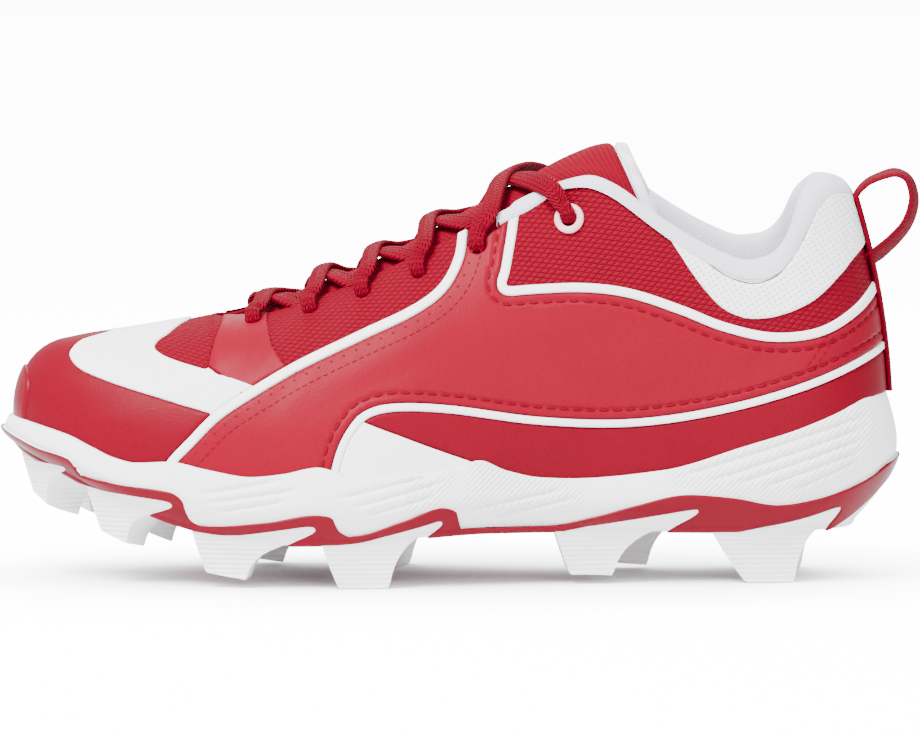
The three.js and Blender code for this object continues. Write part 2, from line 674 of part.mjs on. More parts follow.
// Pointed slots seen from the side, as deep as the groove all the way round
function grooves() {
  const slots = GROOVES.map(({ from, low, to, high }) => {
    const start = new THREE.Vector2(along(from), STUD_HEIGHT + SOLE_STACK * low);
    const end = new THREE.Vector2(along(to), STUD_HEIGHT + SOLE_STACK * high);
    const middle = start.clone().lerp(end, 0.5);
    const half = end.clone().sub(start).normalize().multiplyScalar(GROOVE_WIDTH / 2);
    const edge = [[start.x, start.y], [middle.x + half.y, middle.y - half.x], [end.x, end.y],
      [middle.x - half.y, middle.y + half.x]];
    return sidePrism(edge, -FAR, FAR);
  });
  const core = solid(ringStack(raise(sideRings(-GROOVE_DEPTH), 0, -2 * GROOVE_DEPTH)));
  return slots.reduce((all, slot) => all.add(slot)).subtract(core);
}

add("midsole", geometryFrom(midsole()), "white");

// Outsole plate with its side band

function raise(rings, from, height) {
  return rings.map((points, i) => (i === from ? points.map((p) => p.clone().setZ(p.z + height)) : points));
}

const PLATE_ROUNDING = 1.2;
const FACE_OUT = GAP + PLATE_WALL - 2 * PLATE_ROUNDING;

// Height of the plate's lower face at a given length, found on the edge of that face
function faceOver(x) {
  let low = 0;
  let high = 1;
  for (let i = 0; i < 24; i += 1) {
    const middle = (low + high) / 2;
    if (outline(middle, LATERAL, sideInset(middle, 0) - FACE_OUT, 0).x < x) low = middle;
    else high = middle;
  }
  return soleFace(low);
}

function outsolePlate() {
  const face = (out, lift) => ring(UPPER_STATIONS, (at, side) => (
    outline(at, side, sideInset(at, 0) - out, soleFace(at) + lift)));
  const outerForm = ringStack([
    face(FACE_OUT, 0),
    face(GAP + PLATE_WALL, PLATE_ROUNDING),
    ...sideRings(GAP + PLATE_WALL),
  ]);
  const innerForm = ringStack(raise(sideRings(GAP), 0, -GAP));
  const bandStations = stations(16, BAND.map((row) => row.at));
  const wide = 12;
  const underBand = ringStack([
    ring(bandStations, (at, side) => outline(at, side, -wide, 0)),
    ring(bandStations, (at, side) => outline(at, side, -wide, bandLine(at))),
  ]);
  return geometryFrom(solid(outerForm).intersect(solid(underBand)).subtract(solid(innerForm)));
}

add("outsole_plate", outsolePlate(), "redRubber");

// Studs, each hung under the plate at its edge and scooped out at the rear

function studBody(row, side) {
  const shift = side === MEDIAL ? row.stagger : 0;
  const [front, rear, tipFront, tipRear] = [row.front, row.rear, row.tipFront, row.tipRear].map((at) => at + shift);
  const bend = [tipRear + row.scoop * 0.4 * (rear - tipRear), 0.3];
  const scoop = [0.2, 0.4, 0.6, 0.8].map((u) => [
    (1 - u) ** 2 * tipRear + 2 * u * (1 - u) * bend[0] + u * u * rear,
    (1 - u) ** 2 + 2 * u * (1 - u) * bend[1],
  ]);
  const profile = [
    [front, 0],
    [front + 0.45 * (tipFront - front), 0.5],
    [tipFront, 1],
    [tipRear, 1],
    ...scoop,
    [rear, 0],
    [front + 0.67 * (rear - front), 0],
    [front + 0.33 * (rear - front), 0],
  ];
  const middle = (tipFront + tipRear) / 2;
  const inward = planNormal(middle, side).negate();
  const slice = (depth) => profile.map(([at, down]) => {
    const inset = sideInset(at, 0) - GAP - PLATE_WALL + STUD_SETBACK + STUD_TAPER * down;
    const point = outline(at, side, inset, 0);
    point.x += 0.16 * depth * (middle - at) * SOLE_LENGTH;
    point.addScaledVector(inward, depth * STUD_DEPTH * (1 - 0.3 * down));
    const root = faceOver(point.x) - STUD_CLEARANCE;
    point.z = root + down * (tipHeight(point.x / SOLE_LENGTH) - root);
    return point;
  });
  const { corners, quad, triangle } = mesher();
  const faces = THREE.ShapeUtils.triangulateShape(profile.map(([at, down]) => new THREE.Vector2(at, -down)), []);
  const slices = [0, 0.5, 1].map(slice);
  const flip = side === LATERAL;
  const face = (points, turned) => faces.forEach(([a, b, c]) => {
    if (turned) triangle(points[a], points[c], points[b]);
    else triangle(points[a], points[b], points[c]);
  });
  face(slices[0], !flip);
  face(slices[2], flip);
  slices.slice(1).forEach((inner, k) => inner.forEach((point, i) => {
    const next = (i + 1) % inner.length;
    const outer = slices[k];
    if (flip) quad(outer[i], point, inner[next], outer[next]);
    else quad(outer[i], outer[next], inner[next], point);
  }));
  return geometryOf(corners);
}

STUDS.forEach((row) => {
  add(`stud_${row.name}_outer`, studBody(row, LATERAL), "white");
  add(`stud_${row.name}_inner`, studBody(row, MEDIAL), "white");
});

// Insole, with a raised edge

function insole() {
  const clear = WALL + GAP;
  const edge = (lift, inset) => ring(UPPER_STATIONS, (at, side) => {
    const z = pocketFloor(at) + GAP + lift;
    return skin(at, side, heightOnSkin(at, side, z), -clear - inset).setZ(z);
  });
  return ringStack([edge(0.1, 0.2), edge(INSOLE_THICKNESS + INSOLE_RISE, 0.2), edge(INSOLE_THICKNESS, INSOLE_EDGE)]);
}

add("insole", insole(), "lining");

// Strips of cross sections, closed at both ends

function sectionStrip(sections) {
  const { corners, quad, triangle } = mesher();
  sections.slice(1).forEach((after, k) => after.forEach((point, i) => {
    const before = sections[k];
    const next = (i + 1) % after.length;
    quad(before[i], before[next], after[next], point);
  }));
  const close = (points, turned) => {
    const half = points.length / 2;
    for (let i = 0; i < half - 1; i += 1) {
      const [a, b] = [points[i], points[i + 1]];
      const [c, d] = [points[points.length - 2 - i], points[points.length - 1 - i]];
      const corner = turned ? [a, d, c, b] : [a, b, c, d];
      if (i === half - 2 && b === c) triangle(...corner.slice(0, 3));
      else quad(...corner);
    }
  };
  close(sections[0], true);
  close(sections[sections.length - 1], false);
  return geometryOf(corners);
}

// Collar lining, a padded roll inside the ankle

const padShare = column(LINING, "pad");
const rollShare = column(LINING, "roll");
const LINING_START = 0.6;
const padAt = (at) => COLLAR_PAD * padShare(at);

function liningSection(at, side) {
  const clear = WALL + GAP + LINING_PLAY;
  const pad = padAt(at);
  const roll = COLLAR_ROLL * rollShare(at);
  const rest = 2 * GAP;
  const climb = skinPoint(at, side, 1).sub(skinPoint(at, side, 0.96)).normalize();
  const above = (depth, height) => skin(at, side, 1, -depth).addScaledVector(climb, height);
  const whole = clear + pad;
  return [
    skin(at, side, 0.62, -clear),
    skin(at, side, 0.8, -clear),
    skin(at, side, 0.93, -clear),
    above(clear, 0.3),
    above(0.35 * clear, rest + 0.12 * roll),
    above(0.15 * whole, 0.55 * roll),
    above(0.35 * whole, 0.9 * roll),
    above(0.6 * whole, roll),
    above(0.88 * whole, 0.75 * roll),
    above(whole, 0.25 * roll),
    skin(at, side, 0.82, -clear - 0.9 * pad),
    skin(at, side, 0.62, -clear - 0.3 * pad - 0.6),
  ].reverse();
}

function collarLining() {
  const list = UPPER_STATIONS.filter((at) => at > LINING_START);
  const outer = [LINING_START, ...list].map((at) => liningSection(at, LATERAL));
  const inner = [LINING_START, ...list.slice(0, -1)].reverse().map((at) => liningSection(at, MEDIAL));
  return sectionStrip([...outer, ...inner]);
}

add("collar_lining", collarLining(), "lining");

// Tongue, arched between the two eyestays and hugged by the collar

const tongueCrown = column(TONGUE, "crown");
const tongueSweep = column(TONGUE, "sweep");
const tongueRim = column(TONGUE, "rim");

function tongueSide(at, side, depth) {
  const edge = at + tongueSweep(at);
  const inset = WALL + GAP + TONGUE_PLAY + padAt(edge + 0.012) + depth;
  const start = tongueRim(at);
  const rim = skin(edge, side, start, -inset);
  const slope = Math.atan2(
    (tongueCrown(at + 0.02) - tongueCrown(at - 0.02)) * INSTEP_HEIGHT,
    0.04 * SOLE_LENGTH,
  );
  const top = new THREE.Vector3(
    at * SOLE_LENGTH + depth * Math.sin(slope),
    ridgeLean(at),
    STUD_HEIGHT + tongueCrown(at) * INSTEP_HEIGHT - depth * Math.cos(slope),
  );
  const arch = [0.35, 0.75, 1.15].map((angle) => new THREE.Vector3(
    rim.x + (top.x - rim.x) * Math.sin(angle) ** 1.3,
    top.y + (rim.y - top.y) * Math.cos(angle),
    rim.z + (top.z - rim.z) * Math.sin(angle) ** 1.3,
  ));
  const wing = [0.86, 0.93].map((share) => skin(edge, side, share * start, -inset));
  return { wing: [...wing, rim], arch, top };
}

function tongueSection(at) {
  const face = (depth) => {
    const outer = tongueSide(at, LATERAL, depth);
    const inner = tongueSide(at, MEDIAL, depth);
    return [...outer.wing, ...outer.arch, outer.top, ...inner.arch.reverse(), ...inner.wing.reverse()];
  };
  return [...face(0).reverse(), ...face(TONGUE_THICKNESS)];
}

add("tongue", sectionStrip(TONGUE.map((row) => tongueSection(row.at))), "redCloth");

// Overlays, cut from a thin form that follows the upper's surface

const overlayForm = solid(shell(GAP, GAP + OVERLAY_THICKNESS)).subtract(laceHoles);

// The bite line between two places, lifted clear of the midsole's lip
function overBite(from, to) {
  const steps = 10;
  return Array.from({ length: steps + 1 }, (_, i) => {
    const at = from + ((to - from) * i) / steps;
    return [along(at), biteLine(at) + 3 * GAP];
  });
}

// Front edge of the quarter, from the bite line up to the throat
const FRONT_EDGE = [[0.216, 0.284], [0.245, 0.358], [0.286, 0.428], [0.336, 0.503], [0.405, 0.588],
  [0.456, 0.645], [0.486, 0.695], [0.505, 0.76], [0.514, 0.83], [0.516, 1.2]];
// Front and lower edge of the collar window, from the throat back to the heel
const WINDOW_EDGE = [[0.575, 1.2], [0.571, 0.95], [0.556, 0.735], [0.566, 0.712], [0.6, 0.716], [0.648, 0.72],
  [0.699, 0.706], [0.754, 0.665], [0.8, 0.615], [0.85, 0.59], [0.9, 0.597], [0.945, 0.64], [1.02, 0.76]];
// Line of the mudguard, from the heel forward to the wedge
const GUARD_EDGE = [[1.02, 0.58], [0.9, 0.45], [0.8, 0.372], [0.7, 0.332], [0.6, 0.34], [0.5, 0.37],
  [0.42, 0.362], [0.395, 0.336], [0.38, 0.29]];

const quarterOutline = [
  ...drawn(FRONT_EDGE),
  ...drawn(WINDOW_EDGE),
  ...drawn(GUARD_EDGE),
  ...overBite(0.372, 0.2),
];

function besideStrip(side) {
  const edge = WEBBING_WIDTH / 2 + GAP;
  return side === LATERAL ? [-FAR, -edge] : [edge, FAR];
}

const quarterPrism = sidePrism(quarterOutline, -FAR, FAR);
[["outer", LATERAL], ["inner", MEDIAL]].forEach(([name, side]) => {
  const body = overlayForm.intersect(sidePrism(quarterOutline, ...besideStrip(side)));
  add(`quarter_${name}`, geometryFrom(body), "red");
});

// White band round the vamp, in front of the quarters: its sides are drawn in the side view, and
// its crossing over the ridge in the plan, as shares of the length and of the ball width
const BAND_SEAM = 0.53;
const BAND_OUTLINE = [[0.262, 0.3], [0.239, 0.355], [0.201, 0.388], [0.138, 0.435], [0.107, 0.46], [0.089, 0.48],
  [0.079, 0.504], [0.077, BAND_SEAM], [0.174, BAND_SEAM], [0.2, 0.505], [0.25, 0.47], [0.31, 0.425]];
const BAND_CROSSING = [[0.077, 1], [0.077, 0.21], [0.081, 0.17], [0.09, 0.13], [0.104, 0.085], [0.118, 0.04],
  [0.123, 0], [0.208, 0], [0.205, 0.05], [0.196, 0.1], [0.186, 0.15], [0.178, 0.2], [0.174, 0.26], [0.174, 1]];

// A prism whose outline is drawn in the plan, from one height to another
function planPrism(points, from, to) {
  const shape = new THREE.Shape(points.map(([x, y]) => new THREE.Vector2(x, y)));
  const geometry = new THREE.ExtrudeGeometry(shape, { depth: to - from, bevelEnabled: false });
  geometry.translate(0, 0, from);
  return solid(geometry);
}

function shifted(body, x, z) {
  return body.translate(x, 0, z);
}

const crossingEdge = BAND_CROSSING.map(([at, width]) => [along(at), -width * BALL_WIDTH]);
const crossingOutline = [
  ...crossingEdge.slice(0, 7),
  ...crossingEdge.slice(0, 6).reverse().map(([x, y]) => [x, -y]),
  ...crossingEdge.slice(8).reverse().map(([x, y]) => [x, -y]),
  ...crossingEdge.slice(7),
];
const bandPrism = sidePrism(drawn(BAND_OUTLINE), -FAR, FAR)
  .add(planPrism(crossingOutline, overStuds(BAND_SEAM), 2 * INSTEP_HEIGHT));
const quarterClear = shifted(quarterPrism, -GAP, GAP).add(quarterPrism);
add("toe_band", geometryFrom(overlayForm.intersect(bandPrism).subtract(quarterClear)), "white");

// White wedge over the midsole's arch, under the quarter
const WEDGE_OUTLINE = [[0.386, 0.28], [0.404, 0.335], [0.444, 0.304], [0.507, 0.242]];
const wedgeOutline = [...drawn(WEDGE_OUTLINE), ...overBite(0.507, 0.377)];
[["outer", LATERAL], ["inner", MEDIAL]].forEach(([name, side]) => {
  const body = overlayForm.intersect(sidePrism(wedgeOutline, ...besideStrip(side)));
  add(`wedge_${name}`, geometryFrom(body.subtract(quarterClear)), "white");
});

// White panel round the ankle, above the collar window's lower edge
const ANKLE_OUTLINE = [[0.739, 0.9], [0.754, 0.807], [0.772, 0.738], [0.794, 0.672], [0.831, 0.631], [0.863, 0.64],
  [0.901, 0.683], [0.933, 0.758], [0.951, 0.807], [1.02, 0.9], [1.02, 1.4], [0.739, 1.4]];
add("ankle_panel", geometryFrom(overlayForm.intersect(sidePrism(drawn(ANKLE_OUTLINE), -FAR, FAR))), "white");

// Rubber guard over the toe's front
const GUARD_WIDTH = 27;
const GUARD_TOP = 0.48;
const GUARD_THICKNESS = 1.5;

function frontPrism(points, from, to) {
  const shape = new THREE.Shape(points.map(([y, z]) => new THREE.Vector2(y, z)));
  const geometry = new THREE.ExtrudeGeometry(shape, { depth: to - from, bevelEnabled: false });
  const turned = new THREE.Matrix4().makeBasis(
    new THREE.Vector3(0, 1, 0),
    new THREE.Vector3(0, 0, 1),
    new THREE.Vector3(1, 0, 0),
  );
  geometry.applyMatrix4(turned);
  geometry.translate(from, 0, 0);
  return solid(geometry);
}

const guardFoot = biteLine(0) + 2 * GAP;
const guardTop = overStuds(GUARD_TOP);
const guardOutline = [
  [-GUARD_WIDTH / 2, guardFoot],
  [GUARD_WIDTH / 2, guardFoot],
  ...[0, 0.2, 0.4, 0.6, 0.8, 1].map((share) => {
    const angle = share * Math.PI;
    const shoulder = guardFoot + 0.45 * (guardTop - guardFoot);
    return [0.46 * GUARD_WIDTH * Math.cos(angle), shoulder + (guardTop - shoulder) * Math.sin(angle)];
  }),
];
const guardForm = solid(shell(GAP, GAP + GUARD_THICKNESS));
add("toe_guard", geometryFrom(guardForm.intersect(frontPrism(guardOutline, -along(0.05), along(0.1)))), "redRubber");

// Webbing strip up the heel, with its pull loop

// A flat strip seen from its edge, along a line in the plane of the shoe's length
function webbing(points, width) {
  const path = new THREE.CatmullRomCurve3(points, false, "centripetal").getPoints(points.length * 2);
  const offset = (sign) => path.map((point, i) => {
    const ahead = path[Math.min(i + 1, path.length - 1)].clone().sub(path[Math.max(i - 1, 0)]);
    const normal = new THREE.Vector2(-ahead.z, ahead.x).normalize().multiplyScalar((sign * WEBBING_THICKNESS) / 2);
    return [point.x + normal.x, point.z + normal.y];
  });
  return sidePrism([...offset(-1), ...offset(1).reverse()], -width / 2, width / 2);
}

const stripLift = 2 * GAP + OVERLAY_THICKNESS + WEBBING_THICKNESS / 2;
const stripFoot = heightOnSkin(1, LATERAL, biteLine(1) + 3 * GAP);
const stripPoint = (share) => skin(1, LATERAL, stripFoot + share * (1 - stripFoot), stripLift);
const stripPath = [0, 0.15, 0.3, 0.45, 0.6, 0.75, 0.9, 1].map(stripPoint);
const LOOP = [[0, 0], [0.19, 0.22], [0.41, 0.34], [0.68, 0.4], [0.87, 0.3], [1, 0.04], [0.98, -0.19],
  [0.87, -0.46], [0.68, -0.68], [0.43, -0.9]];
const loopTop = stripPoint(0.985);
const loopPath = LOOP.map(([out, up]) => (
  new THREE.Vector3(loopTop.x + out * LOOP_REACH, 0, loopTop.z + up * LOOP_REACH)));
loopPath.push(stripPoint(0.68));
const strip = webbing(stripPath, WEBBING_WIDTH);
add("heel_webbing", geometryFrom(strip.add(webbing(loopPath, WEBBING_WIDTH))), "redCloth");

// Eyelet rings at the top of the throat, bent to the upper's surface

const ringForm = solid(shell(GAP, GAP + GROMMET_THICKNESS));
[["outer", LATERAL], ["inner", MEDIAL]].forEach(([name, side]) => {
  const disc = drill(topRow, side, GROMMET_RIM / 2, RING_SIDES);
  const hole = drill(topRow, side, GROMMET_HOLE / 2, RING_SIDES);
  add(`eyelet_${name}`, geometryFrom(ringForm.intersect(disc).subtract(hole)), "eyelet");
});

// Laces: bars and crossings over the tongue, from the outside of one eyelet to the far edge

const TONGUE_LEAD = 0.012;
const LACE_LIFT = 2 * GAP + OVERLAY_THICKNESS + LACE_THICKNESS / 2;

function tonguePoint(at, share, lift) {
  const outer = tongueSide(at, LATERAL, -lift);
  const inner = tongueSide(at, MEDIAL, -lift);
  const half = share < 0 ? outer : inner;
  const list = [half.top, ...half.arch.slice().reverse(), half.wing[2]];
  const place = Math.min(Math.abs(share), 0.999) * (list.length - 1);
  const k = Math.floor(place);
  return list[k].clone().lerp(list[k + 1], place - k);
}

// A flat lace along a row of places, each with the direction that its face looks
function flatCord(places, width) {
  const smooth = (name) => new THREE.CatmullRomCurve3(places.map((item) => item[name]), false, "centripetal");
  const curve = smooth("point");
  const facing = smooth("out");
  const steps = 9;
  const sections = Array.from({ length: steps + 1 }, (_, i) => {
    const u = i / steps;
    const point = curve.getPoint(u);
    const tangent = curve.getTangent(u);
    const wide = tangent.clone().cross(facing.getPoint(u)).normalize().multiplyScalar(width / 2);
    const thick = wide.clone().cross(tangent).normalize().multiplyScalar(LACE_THICKNESS / 2);
    return [
      point.clone().sub(wide),
      point.clone().addScaledVector(wide, -0.7).sub(thick),
      point.clone().addScaledVector(wide, 0.7).sub(thick),
      point.clone().add(wide),
      point.clone().addScaledVector(wide, 0.6).add(thick),
      point.clone().addScaledVector(wide, -0.6).add(thick),
    ].reverse();
  });
  return solid(sectionStrip(sections));
}

function crossing(row, next, side, over, toHole) {
  const far = -side;
  const step = (share) => row.at + share * (next.at - row.at);
  const onSkin = (share, which, up, lift) => ({
    point: skin(step(share), which, up, LACE_LIFT + lift),
    out: skinNormal(step(share), which, up),
  });
  const onTongue = (share, across, lift) => {
    const at = step(share) - TONGUE_LEAD;
    const point = tonguePoint(at, across, LACE_THICKNESS / 2 + GAP + lift);
    return { point, out: tonguePoint(at, across, LACE_THICKNESS / 2 + GAP + lift + 1).sub(point) };
  };
  const hump = over ? LACE_THICKNESS : 0;
  const start = [
    onSkin(0, side, row.up, 0.2),
    onSkin(0.08, side, (1 + row.up) / 2, 0.6),
    onSkin(0.18, side, 0.995, 1.8),
    onTongue(0.5, 0, 1.1 + hump),
  ];
  const tucked = [onTongue(0.7, far * 0.45, 1.2), onTongue(0.84, far * 0.62, 1)];
  const overRing = GROMMET_THICKNESS - OVERLAY_THICKNESS + LACE_PLAY;
  const overEdge = [
    onSkin(0.82, far, 0.995, overRing),
    onSkin(0.92, far, (1 + next.up) / 2, overRing),
    onSkin(1, far, next.up, overRing),
  ];
  return flatCord([...start, ...(toHole ? overEdge : tucked)], LACE_WIDTH);
}

EYELETS.slice(1).forEach((next, i) => {
  const row = EYELETS[i];
  const toHole = next === topRow;
  const pair = crossing(row, next, LATERAL, true, toHole).add(crossing(row, next, MEDIAL, false, toHole));
  add(`lace_crossing_${i + 1}`, geometryFrom(pair), "redCloth");
});

const centre = new THREE.Box3().setFromObject(assembly).getCenter(new THREE.Vector3());
assembly.position.set(-centre.x, -centre.y, 0);

export default group;
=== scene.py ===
"""A left baseball cleat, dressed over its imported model. Lengths in the tables and in most of the
functions are millimetres in the shoe's own frame: X from the toe tip to the heel, the outer side
towards -Y, Z up from the ground. They become metres in the row frame when a mesh is made."""

import math

import bpy
import numpy as np
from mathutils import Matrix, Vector


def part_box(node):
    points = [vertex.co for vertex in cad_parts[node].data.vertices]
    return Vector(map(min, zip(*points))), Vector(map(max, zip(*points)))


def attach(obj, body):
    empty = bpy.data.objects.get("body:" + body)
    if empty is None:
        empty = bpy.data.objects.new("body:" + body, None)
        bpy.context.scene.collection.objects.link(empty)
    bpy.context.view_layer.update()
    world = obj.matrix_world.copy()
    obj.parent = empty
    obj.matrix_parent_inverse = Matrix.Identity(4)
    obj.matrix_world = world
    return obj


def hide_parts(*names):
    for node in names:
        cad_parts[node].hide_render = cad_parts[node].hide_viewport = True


bl_info = {
    "name": "Baseball cleat",
    "version": (1, 0, 0),
    "blender": (4, 5, 0),
    "location": "3D View > Sidebar > Cleat",
    "description": "Dresses the packed model of a baseball cleat",
    "category": "Object",
}

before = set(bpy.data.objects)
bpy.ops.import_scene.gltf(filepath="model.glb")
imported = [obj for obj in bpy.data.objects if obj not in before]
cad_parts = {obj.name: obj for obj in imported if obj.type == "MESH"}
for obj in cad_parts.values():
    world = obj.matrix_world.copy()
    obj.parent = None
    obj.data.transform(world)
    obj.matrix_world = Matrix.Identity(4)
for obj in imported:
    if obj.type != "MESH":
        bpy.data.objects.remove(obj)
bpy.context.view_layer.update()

# The shoe's own sizes

SOLE_LENGTH = 288.0
BALL_WIDTH = 97.0
STUD_HEIGHT = 15.0
SOLE_STACK = 24.0
INSTEP_HEIGHT = 110.0
HEEL_HEIGHT = 108.0
THROAT_WIDTH = 42.0
GAP = 0.3
WALL = 2.2
RAND = 4.2
PLATE_FLOOR = 1.6
PLATE_OUT = 1.3
INSOLE_THICKNESS = 3.5
TONGUE_THICKNESS = 4.5
COLLAR_PAD = 8.0
COLLAR_ROLL = 7.5
LACE_WIDTH = 7.2
LACE_THICKNESS = 2.7
OUTER, INNER = -1.0, 1.0
SEAM_OFFSET = 4.3
TONGUE_START = 0.212
TONGUE_END = 0.684
TONGUE_EDGE = 0.699
LINING_START = 0.55
# How far the mudguard reaches down behind the midsole's edge
HIDDEN_FOOT = 2.0
# Points nearer than this many metres are joined
WELD = 0.00002


def rows(names, values):
    """A small table: a dictionary of columns."""
    return dict(zip(names.split(), np.array(values, float).T))


PLAN = rows("at outer inner", [
    (0, 0.6, 0.64), (0.06, 0.595, 0.605), (0.12, 0.598, 0.56), (0.2, 0.582, 0.52), (0.28, 0.572, 0.503),
    (0.36, 0.555, 0.478), (0.44, 0.52, 0.424), (0.52, 0.465, 0.362), (0.6, 0.421, 0.315),
    (0.68, 0.402, 0.32), (0.76, 0.422, 0.376), (0.84, 0.484, 0.47), (0.9, 0.56, 0.56),
    (0.95, 0.635, 0.635), (1, 0.7, 0.7)])
BOTTOM = rows("at face pocket tip", [
    (0, 1.12, 1.37, 2.1), (0.03, 0.96, 1.27, 1.88), (0.06, 0.82, 1.14, 1.5), (0.1, 0.6, 0.99, 1.22),
    (0.14, 0.43, 0.84, 0.9), (0.2, 0.17, 0.66, 0.45), (0.26, 0.01, 0.55, 0.22), (0.32, -0.05, 0.52, 0.05),
    (0.37, -0.04, 0.53, 0), (0.47, 0.04, 0.58, 0), (0.55, 0.09, 0.64, 0.12), (0.64, 0.09, 0.7, 0.2),
    (0.72, 0.07, 0.75, 0.12), (0.8, 0.06, 0.79, 0), (0.91, 0.06, 0.83, 0), (1, 0.06, 0.85, 0)])
SIDE = rows("at foot lip", [
    (0, 0.045, 0.012), (0.1, 0.05, 0.012), (0.5, 0.05, 0.014), (0.85, 0.06, 0.016), (0.95, 0.11, 0.03),
    (1, 0.15, 0.045)])
BITE = rows("at height", [
    (0, 1.53), (0.037, 1.44), (0.072, 1.33), (0.099, 1.19), (0.125, 1.06), (0.15, 1), (0.19, 1.02),
    (0.23, 0.93), (0.28, 0.84), (0.315, 0.88), (0.355, 0.97), (0.4, 0.82), (0.456, 0.85), (0.507, 0.94),
    (0.533, 1.04), (0.563, 0.9), (0.6, 0.8), (0.64, 0.78), (0.735, 0.88), (0.823, 1.19), (0.881, 1.4),
    (0.938, 1.66), (0.973, 1.87), (1, 1.94)])
BAND = rows("at height", [
    (0, 1.4), (0.024, 1.27), (0.045, 1.16), (0.082, 1.04), (0.092, 0.83), (0.132, 0.74), (0.192, 0.66),
    (0.205, 0.58), (0.213, 0.3), (0.228, 0.2), (0.298, 0.27), (0.352, 0.37), (0.37, 0.34), (0.378, 0.16),
    (0.392, 0.08), (0.448, 0.28), (0.49, 0.45), (0.506, 0.4), (0.514, 0.17), (0.53, 0.16), (0.61, 0.17),
    (0.66, 0.29), (0.7, 0.43), (0.76, 0.58), (0.811, 0.53), (0.862, 0.43), (0.904, 0.5), (0.956, 0.72),
    (1, 1.03)])
VAMP = rows("at to open outer inner", [
    (0, 0.08, 0, 0.557, 0.557), (0.02, 0.084, 0, 0.56, 0.56), (0.06, 0.1, 0, 0.57, 0.57),
    (0.12, 0.14, 0, 0.585, 0.585), (0.2, 0.202, 0, 0.613, 0.613), (0.232, 0.231, 0, 0.628, 0.628),
    (0.24, 0.235, 0.09, 0.63, 0.63), (0.252, 0.246, 0.18, 0.627, 0.63), (0.28, 0.277, 0.25, 0.63, 0.645),
    (0.34, 0.338, 0.32, 0.675, 0.69), (0.4, 0.4, 0.37, 0.735, 0.75), (0.46, 0.461, 0.4, 0.81, 0.825),
    (0.52, 0.522, 0.43, 0.885, 0.9), (0.58, 0.582, 0.47, 0.965, 0.985), (0.62, 0.622, 0.52, 1, 1.025)])
COLLAR = rows("at to open outer inner", [
    (0.65, 0.65, 0.258, 1.028, 1.06), (0.68, 0.68, 0.283, 0.995, 1.04), (0.71, 0.708, 0.3, 0.94, 0.99),
    (0.74, 0.739, 0.31, 0.878, 0.93), (0.77, 0.772, 0.315, 0.822, 0.875),
    (0.8, 0.801, 0.315, 0.782, 0.835), (0.83, 0.829, 0.308, 0.757, 0.81),
    (0.86, 0.856, 0.292, 0.768, 0.815), (0.885, 0.877, 0.272, 0.825, 0.855),
    (0.91, 0.893, 0.243, 0.905, 0.92), (0.935, 0.908, 0.2, 0.972, 0.975),
    (0.96, 0.925, 0.145, 1.005, 1.005), (0.985, 0.941, 0.075, 1.002, 1.002), (1, 0.948, 0, 0.988, 0.988)])
FULLNESS = rows("at rise belly arch reach drop", [
    (0, 0.6, 0.02, 0.02, 0.68, 0), (0.02, 0.6, 0.02, 0.02, 0.68, 0), (0.06, 0.6, 0.018, 0.018, 0.66, 0),
    (0.12, 0.58, 0.015, 0.015, 0.62, 0), (0.2, 0.56, 0.012, 0.012, 0.58, 0),
    (0.232, 0.56, 0.012, 0.012, 0.57, 0), (0.24, 0.56, 0.012, 0.012, 0.56, 0.01),
    (0.252, 0.56, 0.012, 0.012, 0.55, 0.03), (0.28, 0.55, 0.012, 0.012, 0.53, 0.05),
    (0.34, 0.53, 0.012, 0.014, 0.5, 0.09), (0.4, 0.5, 0.012, 0.018, 0.47, 0.12),
    (0.46, 0.47, 0.012, 0.028, 0.5, 0.17), (0.52, 0.44, 0.014, 0.04, 0.52, 0.22),
    (0.58, 0.4, 0.016, 0.05, 0.55, 0.27), (0.62, 0.38, 0.018, 0.05, 0.55, 0.3),
    (0.65, 0.36, 0.02, 0.05, 0.55, 0.32), (0.68, 0.34, 0.022, 0.05, 0.5, 0.34),
    (0.71, 0.34, 0.025, 0.048, 0.45, 0.35), (0.74, 0.34, 0.028, 0.045, 0.4, 0.35),
    (0.77, 0.34, 0.03, 0.042, 0.4, 0.35), (0.8, 0.34, 0.032, 0.04, 0.4, 0.35),
    (0.83, 0.34, 0.034, 0.038, 0.4, 0.35), (0.86, 0.34, 0.034, 0.036, 0.45, 0.35),
    (0.885, 0.33, 0.034, 0.034, 0.5, 0.34), (0.91, 0.32, 0.032, 0.032, 0.55, 0.34),
    (0.935, 0.31, 0.03, 0.03, 0.6, 0.33), (0.96, 0.3, 0.027, 0.027, 0.65, 0.33),
    (0.985, 0.3, 0.024, 0.024, 0.7, 0.33), (1, 0.3, 0.023, 0.023, 0.74, 0.33)])
TONGUE = rows("at crown sweep rim", [
    (0.21, 0.562, 0, 0.84), (0.24, 0.582, 0.002, 0.88), (0.27, 0.617, 0.006, 0.97), (0.33, 0.7, 0.01, 1),
    (0.4, 0.77, 0.015, 1), (0.46, 0.85, 0.02, 1), (0.51, 0.925, 0.026, 1), (0.56, 0.998, 0.032, 1),
    (0.6, 1.055, 0.036, 1), (0.635, 1.102, 0.038, 1), (0.664, 1.13, 0.038, 1), (0.684, 1.138, 0.038, 1)])
LINING = rows("at pad roll", [
    (0.53, 0, 0.1), (0.56, 0.05, 0.28), (0.6, 0.18, 0.4), (0.65, 0.36, 0.58), (0.74, 0.55, 0.72),
    (0.83, 0.7, 0.85), (0.9, 0.88, 1), (1, 1, 1)])
HOLE_RADIUS, TOP_HOLE_RADIUS = 2.4, 2.7
EYELETS = rows("at up", [(0.283, 0.9), (0.346, 0.88), (0.403, 0.875), (0.464, 0.87), (0.529, 0.885),
                         (0.63, 0.89)])
